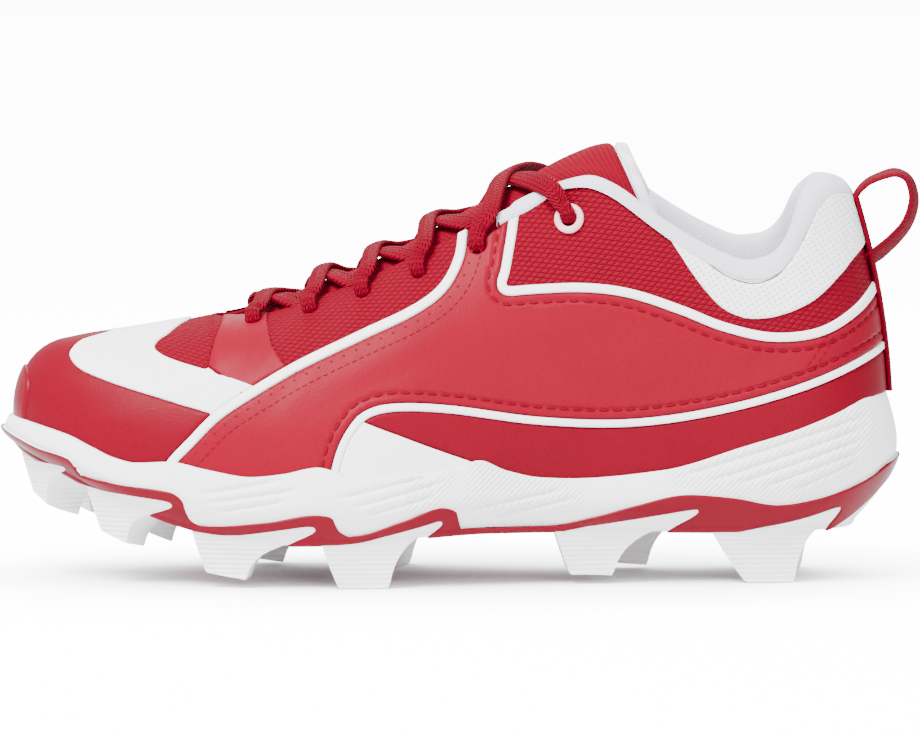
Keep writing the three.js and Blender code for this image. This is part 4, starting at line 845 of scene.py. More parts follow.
def tube_sheet(sections, closed_ends=True, flat=None):
    """Sections of equal count, joined in a row and closed at both ends."""
    sections = np.asarray(sections)
    count, around = sections.shape[:2]
    length = np.concatenate([[0], np.cumsum(np.linalg.norm(np.diff(sections.mean(1), axis=0), axis=-1))])
    if flat is None:
        round_way = np.linspace(0, 1, around, endpoint=False) * 10
        place = np.stack([np.repeat(length, around), np.tile(round_way, count)], -1)
    else:
        place = flat(length, sections)
    index = np.arange(count * around).reshape(count, around)
    faces = quads(index, True)
    if closed_ends:
        faces.append(tuple(index[0][::-1].tolist()))
        faces.append(tuple(index[-1].tolist()))
    points = sections.reshape(-1, 3)
    middle = np.repeat(sections.mean(1), around, 0)
    return Sheet(points, unit(points - middle), place, outward(points, faces))


# Fields of the upper's panels


def side_view(sheet):
    return sheet.points[:, [0, 2]]


def unrolled(line, crossing):
    """A drawn line as distances along the shoe and down from the ridge, then over the ridge."""
    points = drawn(line, 5)
    at, up, hit = on_side(points[:, 0], points[:, 1], OUTER)
    girth = girth_above(at, OUTER, up)
    clear = np.stack([points[:, 0], girth], -1)[hit & (girth > BAND_CROSSING)]
    return np.concatenate([clear, shares(crossing)])


def upper_fields():
    """Signed distances on the upper's surface from each drawn line, above zero on the named side."""
    view = side_view(SKIN)
    flat = np.stack([SKIN.points[:, 0], top_girth()], -1)
    sole_edge = np.tile(bite_line(places(SKIN_PLACES)[0]), SKIN_LEVELS)
    return {
        "behind_front": -signed(view, drawn(FRONT_LINE)),
        "under_window": -signed(view, drawn(WINDOW_LINE)),
        "over_guard": -signed(view, drawn(GUARD_LINE)),
        "under_wedge": -signed(view, drawn(WEDGE_TOP)),
        "ankle": signed(view, drawn(ANKLE_LINE)),
        "turnover": signed(view, drawn(LINING_SEAM)),
        "patch": inside(view, shares(PATCH)),
        "above_sole": SKIN.points[:, 2] - sole_edge + HIDDEN_FOOT,
        "behind_band_front": signed(flat, unrolled(BAND_FRONT, FRONT_CROSSING)),
        "before_band_rear": -signed(flat, unrolled(BAND_REAR, REAR_CROSSING)),
    }


def hole_field(sheet):
    """Distance from the nearest lace hole, above zero outside the holes."""
    best = np.full(len(sheet.points), 1e9)
    for at, up in zip(EYELETS["at"], EYELETS["up"]):
        radius = TOP_HOLE_RADIUS if at == EYELETS["at"][-1] else HOLE_RADIUS
        for side in (OUTER, INNER):
            point = skin_point(at, side, up)
            best = np.minimum(best, np.linalg.norm(sheet.points - point, axis=-1) - radius)
    return best


def cut_sheet(sheet, field):
    return Sheet.of(*used_only(*split(sheet.rows(), sheet.faces, field)))


# Sole


def side_inset(at, level):
    """How far the midsole's side is drawn in at its foot and at its lip."""
    foot = BALL_WIDTH * foot_inset(at) * np.maximum(0, 1 - level / 0.55) ** 1.6
    lip = BALL_WIDTH * lip_inset(at) * np.maximum(0, (level - 0.6) / 0.4) ** 1.5
    return foot + lip


def level_normal(at, side):
    return np.concatenate([plan_normal(at, side), np.zeros((len(at), 1))], -1)


def side_ring(at, side, level):
    base = sole_face(at) + PLATE_FLOOR + GAP
    return outline(at, side, side_inset(at, level), base + level * (bite_line(at) - base))


GROOVE_DEPTH, GROOVE_WIDTH = 1.25, 0.72
# The fine lines show round the grooves, faintly before the arch, and all along a stretch of it
HATCH_REACH, FAINT_HATCH, FAINT_BEFORE = 4.2, 0.35, 0.45


def grooves(view):
    """Depth of the pressed grooves and strength of the fine lines round them, in the side view."""
    depth, mask = np.zeros(len(view)), np.zeros(len(view))
    for start_at, low, end_at, high in GROOVES:
        a = np.array([start_at * SOLE_LENGTH, STUD_HEIGHT + SOLE_STACK * low])
        b = np.array([end_at * SOLE_LENGTH, STUD_HEIGHT + SOLE_STACK * high])
        along = np.clip(((view - a) @ (b - a)) / ((b - a) @ (b - a)), 0, 1)
        gap = distance(view, np.array([a, b]))
        taper = np.minimum(1, 6 * np.minimum(along, 1 - along) + 0.25)
        depth = np.maximum(depth, GROOVE_DEPTH * taper * np.exp(-(gap / GROOVE_WIDTH) ** 2))
        mask = np.maximum(mask, np.exp(-(gap / HATCH_REACH) ** 4))
    at = view[:, 0] / SOLE_LENGTH
    stretch = np.clip((at - 0.5) / 0.03, 0, 1) * np.clip((0.66 - at) / 0.06, 0, 1)
    return depth, np.maximum(mask * np.where(at > FAINT_BEFORE, 1, FAINT_HATCH), stretch)


def midsole_sheet(count, levels):
    """The side with its grooves, the rounded lip, and the pocket down to its floor."""
    at, side = places(count)
    grid = np.array([side_ring(at, side, level) for level in np.linspace(0, 1, levels)])
    depth, mask = grooves(grid[..., [0, 2]].reshape(-1, 2))
    grid = grid - level_normal(at, side)[None] * depth.reshape(grid.shape[:2])[..., None]
    top = height_on_skin(at, side, bite_line(at))
    inner = skin(at, side, top, np.full(at.shape, GAP))
    lip = (grid[-1] + inner) / 2
    lip[:, 2] += 0.45
    near, far = grid[-1] * 0.8 + lip * 0.2, inner * 0.8 + lip * 0.2
    near[:, 2] += 0.22
    far[:, 2] += 0.22
    down = skin(at, side, top * 0.8, np.full(at.shape, GAP))
    floor = skin(at, side, np.zeros_like(at), np.full(at.shape, GAP))
    floor[:, 2] = pocket_floor(at)
    grid = np.concatenate([grid, [near, lip, far, inner, down, floor]])
    sheet = grid_sheet(grid, True)
    sheet.mask = np.concatenate([mask, np.zeros(6 * len(at))])
    return sheet


# The white carrier stands this far inside the red band and below its upper line
CARRIER_STEP = 0.35
# The plate's rounded lower edge: how far in, and how far above its face
PLATE_EDGE = [(2.4, 0), (1.4, 0.1), (0.6, 0.42), (0.15, 1.0)]


def plate_rings(at, side, levels, drop):
    """The plate's side from its rounded lower edge up to the band's upper line."""
    out = PLATE_OUT - CARRIER_STEP
    face = sole_face(at)
    top = band_line(at) - drop
    base = face + PLATE_FLOOR + GAP
    foot = side_inset(at, 0)
    rings = [outline(at, side, foot - out + inset, face + rise) for inset, rise in PLATE_EDGE]
    start = np.minimum(face + 1.5, top - 0.2)
    for share in np.linspace(0, 1, levels):
        height = start + share * np.maximum(top - start, 0.05)
        level = np.clip((height - base) / (bite_line(at) - base), 0, 1)
        rings.append(outline(at, side, side_inset(at, level) - out, height))
    return np.array(rings)


def plate_sheets(count, levels):
    """The white carrier of the studs, and the red band that runs round it."""
    at, side = places(count)
    rings = plate_rings(at, side, levels, CARRIER_STEP)
    inner = rings[-1] - level_normal(at, side) * 1.2
    white = grid_sheet(np.concatenate([rings, [inner]]), True)
    base = grid_sheet(plate_rings(at, side, levels, 0.0), True)
    top = np.stack([at * SOLE_LENGTH, band_line(at)], -1)[:count + 1]
    beyond = 40
    band = np.concatenate([[(-beyond, top[0, 1])], top, [(SOLE_LENGTH + beyond, top[-1, 1])],
                           drawn(BAND_LOW, 5)[::-1], [(-beyond, 45)]])
    return white, raised(base, [inside(side_view(base), band)], 0.5, edge=0.55, foot=-0.2)


# The plate's lower face: a sunk panel inside its rim, crossed by low ribs
RIM_WIDTH, PANEL_SINK, RIB_RISE, RIB_PITCH = 9, 0.7, 0.9, 13


def underside_sheet(count, across):
    at = (1 - np.cos(np.pi * np.linspace(0, 1, count))) / 2
    inset = side_inset(at, 0) - PLATE_OUT + 2.6
    left, right = (outline(at, np.full(at.shape, side), inset, sole_face(at)) for side in (OUTER, INNER))
    share = np.linspace(0, 1, across)[:, None, None]
    grid = left[None] * (1 - share) + right[None] * share
    edge = np.minimum(share[..., 0], 1 - share[..., 0]) * np.linalg.norm(left - right, axis=-1)[None]
    panel = np.clip((edge - RIM_WIDTH) / 1.2, 0, 1)
    rib = np.maximum(0, np.cos(grid[..., 0] * 2 * np.pi / RIB_PITCH)) ** 6
    rib *= np.clip((edge - RIM_WIDTH - 3) / 3, 0, 1)
    grid[..., 2] += panel * (PANEL_SINK - RIB_RISE * rib)
    sheet = grid_sheet(grid, False)
    sheet.faces = [face[::-1] for face in sheet.faces]
    return sheet


def face_over(x):
    """Height of the plate's lower face at a distance along the shoe."""
    low, high = 0.0, 1.0
    for _ in range(24):
        middle = np.array((low + high) / 2)
        if outline(middle, OUTER, side_inset(middle, 0) - PLATE_OUT + 2.4, 0)[0] < x:
            low = float(middle)
        else:
            high = float(middle)
    return float(sole_face(low))


# How deep a stud is from its outer face inward, and how far its outer face leans in
STUD_DEPTH, STUD_LEAN = 19, 3


def stud_sheet(row, side):
    """One stud: its side view, with a hollowed rear face, taken inward in slices."""
    _, front, rear, tip_front, tip_rear, stagger, hollow = row
    shift = stagger if side > 0 else 0
    front, rear, tip_front, tip_rear = (v + shift for v in (front, rear, tip_front, tip_rear))
    bend = (tip_rear + hollow * 0.4 * (rear - tip_rear), 0.3)
    scoop = [((1 - u) ** 2 * tip_rear + 2 * u * (1 - u) * bend[0] + u * u * rear,
              (1 - u) ** 2 + 2 * u * (1 - u) * bend[1]) for u in np.linspace(0.08, 0.94, 11)]
    fore = [(front + share * (tip_front - front) * (0.8 + 0.2 * share), share)
            for share in np.linspace(0, 0.94, 8)]
    foot = [(tip_front + share * (tip_rear - tip_front), 1) for share in (0.03, 0.35, 0.65, 0.97)]
    root = [(rear + share * (front - rear), 0) for share in (0, 0.25, 0.5, 0.75)]
    profile = np.array(fore + foot + scoop + root)
    middle = (tip_front + tip_rear) / 2
    inward = -plan_normal(np.array(middle), np.array(side))
    slices = []
    for depth in (0, 0.02, 0.12, 0.35, 0.65, 0.88, 0.98, 1):
        points = []
        tuck = 0.45 if depth in (0, 1) else 0.0
        for at, down in profile:
            inset = side_inset(np.array(at), 0) - PLATE_OUT + 0.25 + STUD_LEAN * down
            inset += tuck if depth == 0 else 0
            point = outline(np.array(at), np.array(side), inset, 0)
            point[0] += 0.16 * depth * (middle - at) * SOLE_LENGTH
            point[:2] += inward * depth * STUD_DEPTH * (1 - 0.3 * down)
            if tuck:
                point[0] += np.sign(middle - at) * tuck * 0.6
            seat = face_over(point[0]) + 0.6
            tip = STUD_HEIGHT * float(tip_share(point[0] / SOLE_LENGTH))
            point[2] = seat + down * (tip + (0.35 if tuck else 0) - seat)
            points.append(point)
        slices.append(points)
    return tube_sheet(slices)


# Soft inside


pad_share, roll_share = column(LINING, "pad"), column(LINING, "roll")


# The insole's rings from its edge to the middle: share of the way in, and rise over its edge
INSOLE_RINGS = [(0, -0.6), (0, 0), (0.03, 0.3), (0.1, -0.3), (0.2, 0), (0.45, 0), (0.7, 0), (0.92, 0)]
INSOLE_BED = 0.15


def insole_sheet():
    at, side = places(120)
    floor = pocket_floor(at) + GAP
    up = height_on_skin(at, side, floor + INSOLE_THICKNESS + 1)
    edge = skin(at, side, up, np.full(at.shape, -WALL - GAP - 0.3))
    edge[:, 2] = floor + INSOLE_THICKNESS + 1.2
    middle = np.stack([edge[:, 0], np.zeros(len(at)), pocket_floor(edge[:, 0] / SOLE_LENGTH) + GAP], -1)
    middle[:, 2] += INSOLE_THICKNESS
    rings = []
    for share, rise in INSOLE_RINGS:
        ring = edge * (1 - share) + middle * share
        ring[:, 2] = np.where(share > INSOLE_BED, middle[:, 2], ring[:, 2] + rise)
        rings.append(ring)
    return grid_sheet(np.array(rings), True)


def lining_sheet(count):
    """The padded lining: up the inside, over the edge as a roll, and down to the turned-over border."""
    at, side = places(count)
    keep = at > LINING_START
    at, side = at[keep], side[keep]
    clear = WALL + GAP + 0.2
    pad, roll = (COLLAR_PAD * pad_share(at))[:, None], (COLLAR_ROLL * roll_share(at))[:, None]
    whole = clear + pad
    top, normal = skin_frame(at, side, np.ones_like(at))
    climb = unit(top - skin_point(at, side, np.full(at.shape, 0.96)))

    def on(up, depth):
        point, out = skin_frame(at, side, np.full(at.shape, up))
        return point - out * depth

    def above(depth, height):
        return top - normal * depth + climb * height

    sections = [
        on(0.12, clear), on(0.3, clear), on(0.46, clear), on(0.62, clear), on(0.8, clear), on(0.95, clear),
        above(clear, 0.2), above(0.4 * clear, 0.7),
        above(-0.35, 0.3), above(-0.95, -0.4), above(-0.98, 0.16 * roll), above(-0.7, 0.48 * roll),
        above(0.06 * whole, 0.8 * roll), above(0.3 * whole, roll), above(0.58 * whole, 1.02 * roll),
        above(0.86 * whole, 0.78 * roll), above(whole, 0.25 * roll), on(0.9, clear + 0.98 * pad),
        on(0.8, clear + 0.85 * pad), on(0.7, clear + 0.5 * pad), on(0.62, clear + 0.3 * pad + 0.6),
        on(0.46, clear + 0.1 * pad + 1.1), on(0.3, clear + 1.1), on(0.12, clear + 0.9),
    ]
    sections = np.stack(sections, 1)

    def flat(length, sections):
        girth = np.cumsum(np.linalg.norm(sections - np.roll(sections, 1, 1), axis=-1), 1)
        return np.stack([np.repeat(length, sections.shape[1]), girth.reshape(-1)], -1)

    return tube_sheet(sections[:, ::-1], True, flat)


crown_of, sweep_of, rim_of = column(TONGUE, "crown"), column(TONGUE, "sweep"), column(TONGUE, "rim")


# Points of the arch between rim and crown, and how low the wings start below the rim
ARCH_POINTS = 7
WING_LEVELS = (0.86, 0.93)


def tongue_half(at, side, depth):
    """One side of a section of the tongue, sunk by a depth: its wing and rim, its arch, and its crown."""
    edge = at + float(sweep_of(at))
    inset = WALL + GAP + 1.0 + COLLAR_PAD * float(pad_share(edge + 0.012)) + depth
    start = float(rim_of(at))
    wing = [skin(np.array(edge), np.array(side), np.array(level * start), np.array(-inset))
            for level in (*WING_LEVELS, 1)]
    rim = wing[-1]
    step = 0.02
    rise = (crown_of(at + step) - crown_of(at - step)) * INSTEP_HEIGHT
    slope = math.atan2(float(rise), 2 * step * SOLE_LENGTH)
    crown = STUD_HEIGHT + float(crown_of(at)) * INSTEP_HEIGHT
    top = np.array([at * SOLE_LENGTH + depth * math.sin(slope), float(ridge_lean(at)),
                    crown - depth * math.cos(slope)])
    arch = []
    for angle in np.linspace(0, math.pi / 2, ARCH_POINTS + 2)[1:-1]:
        point = rim + (top - rim) * math.sin(angle) ** 1.3
        point[1] = top[1] + (rim[1] - top[1]) * math.cos(angle)
        arch.append(point)
    return wing, arch, top


def tongue_line(at, depth):
    wing, arch, top = tongue_half(at, OUTER, depth)
    wing2, arch2, _ = tongue_half(at, INNER, depth)
    return wing + arch + [top] + arch2[::-1] + wing2[::-1]


def tongue_sheets(count):
    """Outer red face and pale inner face of the tongue; the inner face runs on round its free end as a
    binding.
    """
    half = TONGUE_THICKNESS * 0.52

    def closing(at, end, length):
        """How far a cushion's end has closed: 0 before it, 1 at the end."""
        fade = max(0.0, 1 - (end - at) / length)
        return 1 - math.sqrt(max(0, 1 - fade ** 2))

    out, lining = [], []
    for at in np.linspace(TONGUE_START, TONGUE_END, count):
        sunk = half * closing(at, TONGUE_END, 0.008) * 0.8
        out.append(tongue_line(at, 0.15 + sunk)[::-1] + tongue_line(at, half))
    binding = 12
    stations = np.concatenate([np.linspace(TONGUE_START, TONGUE_END - 0.003, count - binding),
                               np.linspace(TONGUE_END, TONGUE_EDGE, binding)])
    for at in stations:
        level = half + 0.1 if at < TONGUE_END - 0.001 else 0.35
        sunk = (TONGUE_THICKNESS - level) * closing(at, TONGUE_EDGE, 0.01) * 0.5
        lining.append(tongue_line(at, level + sunk)[::-1] + tongue_line(at, TONGUE_THICKNESS - sunk))
    return [tube_sheet(np.array(lines)[:, ::-1]) for lines in (out, lining)]


def tongue_surface(at, across, lift):
    """A point over the tongue: across runs from -1 at the outer rim to 1 at the inner rim."""
    wing, arch, top = tongue_half(at, OUTER if across < 0 else INNER, -lift)
    line = [top] + arch[::-1] + [wing[-1]]
    place = min(abs(across), 0.999) * (len(line) - 1)
    k = int(place)
    return line[k] * (1 - (place - k)) + line[k + 1] * (place - k)


# Laces


def curve_through(points, steps):
    """A smooth curve through points that are unevenly far apart."""
    points = np.asarray(points, float)
    gaps = np.maximum(np.linalg.norm(np.diff(points, axis=0), axis=-1), 1e-6) ** 0.5
    knots = np.concatenate([[0], np.cumsum(gaps)])
    ends = np.concatenate([2 * points[:1] - points[1:2], points, 2 * points[-1:] - points[-2:-1]])
    k = np.concatenate([[knots[0] - gaps[0]], knots, [knots[-1] + gaps[-1]]])
    out = []
    for t in np.linspace(knots[0], knots[-1], steps):
        i = min(max(int(np.searchsorted(k, t)) - 1, 1), len(k) - 3)
        a, b, c, d = ends[i - 1:i + 3]
        ta, tb, tc, td = k[i - 1:i + 3]
        ab = a * (tb - t) / (tb - ta) + b * (t - ta) / (tb - ta)
        bc = b * (tc - t) / (tc - tb) + c * (t - tb) / (tc - tb)
        cd = c * (td - t) / (td - tc) + d * (t - tc) / (td - tc)
        abc = ab * (tc - t) / (tc - ta) + bc * (t - ta) / (tc - ta)
        bcd = bc * (td - t) / (td - tb) + cd * (t - tb) / (td - tb)
        out.append(abc * (tc - t) / (tc - tb) + bcd * (t - tb) / (tc - tb))
    return np.array(out)


def flat_cord(path, width, thickness, steps=64, sides=14):
    """A flat braid along (place, direction its face looks, share of its width)."""
    points = curve_through([point for point, _, _ in path], steps)
    faces = curve_through([face for _, face, _ in path], steps)
    narrow = curve_through([[share, 0, 0] for _, _, share in path], steps)[:, 0]
    tangent = unit(np.gradient(points, axis=0))
    wide = unit(np.cross(tangent, faces))
    thick = unit(np.cross(wide, tangent))
    angle = np.linspace(0, 2 * np.pi, sides, endpoint=False)
    across, deep = (np.sign(wave_of) * np.abs(wave_of) ** 0.8 for wave_of in (np.cos(angle), np.sin(angle)))
    half_width = (width / 2 * narrow)[:, None, None]
    sections = (points[:, None] + wide[:, None] * (across[None, :, None] * half_width)
                + thick[:, None] * (deep[None, :, None] * (thickness / 2 * np.sqrt(narrow))[:, None, None]))

    def flat(length, sections):
        v = across * width / 2
        return np.stack([np.repeat(length, len(v)), np.tile(v, len(length))], -1)

    return tube_sheet(sections, True, flat)


def crossing_path(row, side, over):
    """A lace strand from a hole over the tongue: under the far edge, or in the last row to the far hole."""
    at, up = EYELETS["at"], EYELETS["up"]
    last = row == len(at) - 2
    far = -side
    hole, hole_out = skin_frame(at[row], side, up[row])

    def station(share):
        return at[row] + share * (at[row + 1] - at[row])

    def on_skin(share, which, level, lift):
        point, normal = skin_frame(station(share), which, level)
        return point + normal * lift, normal, 1.0

    def on_tongue(share, across, lift):
        place = station(share) - 0.012
        base = tongue_surface(place, across, LACE_THICKNESS / 2 + lift)
        above = tongue_surface(place, across, LACE_THICKNESS / 2 + lift + 1)
        return base, above - base, 1.0

    lift = 1.0 + LACE_THICKNESS / 2
    hump = LACE_THICKNESS if over else 0.0
    rising = unit(skin_point(at[row], side, up[row] + 0.02) - hole)
    path = [
        (hole - hole_out * 3 - rising * 0.6, rising * -1 + hole_out * 0.3, 0.66),
        (hole + hole_out * 0.5 - rising * 0.5, rising * -1 + hole_out * 0.8, 0.74),
        (hole + hole_out * (lift + 0.25) + rising * 1.4, hole_out + rising * -0.2, 0.95),
        on_skin(0.03, side, (1 + up[row]) / 2 + 0.01, lift + 0.3),
        on_skin(0.13, side, 0.999, lift + 0.8),
        on_tongue(0.5, 0, 0.5 + 0.8 * hump),
    ]
    if last:
        target, out = skin_frame(at[row + 1], far, up[row + 1])
        down = unit(target - skin_point(at[row + 1], far, min(1, up[row + 1] + 0.03)))
        path += [
            on_skin(0.82, far, 0.997, lift + 1.5),
            on_skin(0.92, far, (1 + up[row + 1]) / 2, lift + 0.9),
            (target + out * (lift + 1.1) - down * 1.8, out, 0.95),
            (target + out * 0.8 + down * 0.5, out * 0.8 + down, 0.72),
            (target - out * 4, down, 0.66),
        ]
    else:
        path += [on_tongue(share, far * across, above)
                 for share, across, above in ((0.68, 0.45, 0.5), (0.84, 0.78, 0.1), (0.98, 0.98, -1.2))]
    return path


# Trim

# The eyelet ring's section: distance from its middle, and height over the upper
RING_SECTION = [(2.6, -1.5), (2.6, 1.0), (2.9, 1.55), (3.5, 1.75), (4.3, 1.6), (4.75, 1.15), (4.85, 0.3),
                (4.4, -0.5)]
GUARD_HALF_WIDTH, GUARD_THICKNESS = 13.0, 1.4
WEBBING_WIDTH, STRIP_THICKNESS, LOOP_THICKNESS, STRIP_LIFT = 10.0, 2.4, 2.0, 1.15
# The pull loop from the strip's top end, in millimetres back and up, and how far it turns sideways
LOOP = [(-1.5, -7, 0), (0, 0, 0), (3.7, 4.4, 0.1), (8.1, 6.6, 0.15), (13.3, 7.8, 0.2), (17, 5.9, 0.25),
        (18.9, 0.7, 0.3), (18.6, -3.8, 0.36), (16.6, -9, 0.42), (13, -13.4, 0.5), (8, -17.9, 0.45),
        (3.2, -21.5, 0.2), (0.6, -28, 0)]
LOOP_MIDDLE = (8, -6)


def ring_sheet(side):
    point, normal = skin_frame(EYELETS["at"][-1], side, EYELETS["up"][-1])
    first = unit(np.cross(normal, [0, 0, 1]))
    second = np.cross(normal, first)
    sections = []
    for angle in np.linspace(0, 2 * np.pi, 49):
        way = first * math.cos(angle) + second * math.sin(angle)
        sections.append([point + way * radius + normal * height for radius, height in RING_SECTION])
    return tube_sheet(np.array(sections)[:, ::-1], False)


def guard_sheet():
    """The rubber guard over the toe's front, with a round top."""
    foot, top = float(bite_line(0)) - 1, STUD_HEIGHT + 0.48 * INSTEP_HEIGHT
    shoulder = foot + 0.45 * (top - foot)
    x, y, z = SKIN.points.T
    arch = 1 - np.sqrt((y / GUARD_HALF_WIDTH) ** 2 + (np.maximum(z - shoulder, 0) / (top - shoulder)) ** 2)
    return raised(SKIN, [np.where(x < 40, arch * 12, -20)], GUARD_THICKNESS, edge=1.2)


def webbing_sheets():
    """The strip up the heel, and its pull loop."""
    foot = float(height_on_skin(np.array(1.0), np.array(OUTER), bite_line(1.0) - 2))
    strip = [skin(1.0, OUTER, level, STRIP_LIFT) * [1, 0, 1] for level in np.linspace(foot, 1.0, 14)]
    back = unit(np.array([1.0, 0, 0.15]))
    start = strip[-1]
    middle = start + [LOOP_MIDDLE[0], 0, LOOP_MIDDLE[1]]
    loop = []
    for x, z, turned in LOOP:
        point = start + [x, 0, z]
        loop.append((point, unit(point - middle) + [0, -turned, 0], 1.0))
    return [flat_cord([(point, back, 1.0) for point in strip], WEBBING_WIDTH, STRIP_THICKNESS, 50, 12),
            flat_cord(loop, WEBBING_WIDTH, LOOP_THICKNESS, 70, 12)]


# Seams


# Millimetres between a seam's points, and how near the midsole's edge a seam still runs
SEAM_SPACING, SEAM_FOOT = 1.0, 0.8


def seam_path(line, shift, side, lift):
    """Places on the upper along a drawn line, moved sideways in the side view."""
    points = drawn(line, 12)
    tangent = unit(np.gradient(points, axis=0))
    moved = points + np.stack([-tangent[:, 1], tangent[:, 0]], -1) * shift
    length = np.concatenate([[0], np.cumsum(np.linalg.norm(np.diff(moved, axis=0), axis=-1))])
    want = np.arange(0, length[-1], SEAM_SPACING)
    x, z = np.interp(want, length, moved[:, 0]), np.interp(want, length, moved[:, 1])
    at, up, hit = on_side(x, z, side)
    point, normal = skin_frame(at, side, up)
    point = point + normal * (relief(point) + lift)[:, None]
    hit &= z > bite_line(x / SOLE_LENGTH) + SEAM_FOOT
    return [(p, n) for p, n, ok in zip(point, normal, hit) if ok]


def seam_object(paths):
    """A mesh of edges along each seam that carries the outward direction as an attribute."""
    mesh = bpy.data.meshes.new("Seam")
    points, edges, out = [], [], []
    for path in paths:
        for k, (point, normal) in enumerate(path):
            if k and np.linalg.norm(point - path[k - 1][0]) < 4:
                edges.append((len(points) - 1, len(points)))
            points.append(metres(point).tolist())
            out.append(normal)
    mesh.from_pydata(points, edges, [])
    attribute = mesh.attributes.new("out", "FLOAT_VECTOR", "POINT")
    attribute.data.foreach_set("vector", np.array(out, np.float32).ravel())
    obj = bpy.data.objects.new("Seam", mesh)
    bpy.context.scene.collection.objects.link(obj)
    return obj


def stitch_tree():
    """Nodes that lay one flattened ball a pitch along the seams, turned to the surface."""
    tree = bpy.data.node_groups.new("Stitches along seams", "GeometryNodeTree")
    face = tree.interface
    face.new_socket(name="Seams", in_out="INPUT", socket_type="NodeSocketGeometry")
    for name in ("Pitch", "Length", "Width", "Height"):
        face.new_socket(name=name, in_out="INPUT", socket_type="NodeSocketFloat")
    face.new_socket(name="Thread", in_out="INPUT", socket_type="NodeSocketMaterial")
    face.new_socket(name="Stitches", in_out="OUTPUT", socket_type="NodeSocketGeometry")
    start, end = add_node(tree, "NodeGroupInput"), add_node(tree, "NodeGroupOutput")
    curve = add_node(tree, "GeometryNodeMeshToCurve")
    even = add_node(tree, "GeometryNodeResampleCurve", mode="LENGTH")
    stitch = add_node(tree, "GeometryNodeMeshUVSphere", Segments=8, Rings=5, Radius=0.5)
    tangent = add_node(tree, "GeometryNodeInputTangent")
    outward = add_node(tree, "GeometryNodeInputNamedAttribute", data_type="FLOAT_VECTOR", Name="out")
    first = add_node(tree, "FunctionNodeAlignRotationToVector", axis="X")
    second = add_node(tree, "FunctionNodeAlignRotationToVector", axis="Z", pivot_axis="X")
    size = add_node(tree, "ShaderNodeCombineXYZ")
    put = add_node(tree, "GeometryNodeInstanceOnPoints")
    real = add_node(tree, "GeometryNodeRealizeInstances")
    paint = add_node(tree, "GeometryNodeSetMaterial")
    for source, output, target, socket in (
            (start, "Seams", curve, "Mesh"), (curve, "Curve", even, "Curve"),
            (start, "Pitch", even, "Length"), (tangent, "Tangent", first, "Vector"),
            (first, "Rotation", second, "Rotation"), (outward, "Attribute", second, "Vector"),
            (start, "Length", size, "X"), (start, "Width", size, "Y"), (start, "Height", size, "Z"),
            (even, "Curve", put, "Points"), (stitch, "Mesh", put, "Instance"),
            (second, "Rotation", put, "Rotation"), (size, "Vector", put, "Scale"),
            (put, "Instances", real, "Geometry"), (real, "Geometry", paint, "Geometry"),
            (start, "Thread", paint, "Material"), (paint, "Geometry", end, "Stitches")):
        tree.links.new(source.outputs[output], target.inputs[socket])
    return tree


def sewn(name, paths, tree, finish, pitch, length, width, height):
    """Runs the stitch tree over seams and keeps its result as a plain mesh."""
    seam = seam_object(paths)
    modifier = seam.modifiers.new("Stitches", "NODES")
    modifier.node_group = tree
    values = {"Pitch": pitch, "Length": length, "Width": width, "Height": height, "Thread": FINISHES[finish]}
    for item in tree.interface.items_tree:
        if item.in_out == "INPUT" and item.name in values:
            value = values[item.name]
            modifier[item.identifier] = value if item.name == "Thread" else value * 0.001
    depsgraph = bpy.context.evaluated_depsgraph_get()
    mesh = bpy.data.meshes.new_from_object(seam.evaluated_get(depsgraph))
    bpy.data.objects.remove(seam)
    mesh.polygons.foreach_set("use_smooth", np.ones(len(mesh.polygons), bool))
    if not mesh.materials:
        mesh.materials.append(FINISHES[finish])
    obj = bpy.data.objects.new(name, mesh)
    bpy.context.scene.collection.objects.link(obj)
    settle(obj, ())


# Stage

# The photograph's view: distance in metres, slope, focal length in pixels, width of the picture and
# the place it looks at in millimetres
CAMERA_DISTANCE, CAMERA_SLOPE = 1.70, math.radians(4)
FOCAL_PIXELS, PICTURE_WIDTH, SENSOR = 5265, 920, 36
CAMERA_TARGET = (146.9, 0, 66.7)
# Floor's half size in metres, how brightly the camera sees it, and the reach of its soft shadow
FLOOR_SIZE, FLOOR_GLOW, SHADOW_REACH = 60.0, 12.0, 0.09
# Strength of the sky's light, and what the camera sees of it beyond that
SKY, SEEN_SKY = 1.35, 11.0
# Lamps: name, place in metres, size in metres and power in watts
LAMPS = [("Key", (-0.55, -0.8, 1.3), 0.7, 88.0), ("Fill", (0.7, -1.5, 0.5), 1.2, 15.0),
         ("Back", (0.2, 1.1, 1.2), 1.2, 24.0)]


def set_camera(scene):
    target = metres(CAMERA_TARGET)
    camera = bpy.data.cameras.new("Camera")
    camera.lens = FOCAL_PIXELS / PICTURE_WIDTH * SENSOR
    camera.sensor_width = SENSOR
    camera.clip_end = 200
    eye = bpy.data.objects.new("Camera", camera)
    eye.location = target + np.array([0, -math.cos(CAMERA_SLOPE), math.sin(CAMERA_SLOPE)]) * CAMERA_DISTANCE
    eye.rotation_euler = (math.pi / 2 - CAMERA_SLOPE, 0, 0)
    scene.collection.objects.link(eye)
    scene.camera = eye


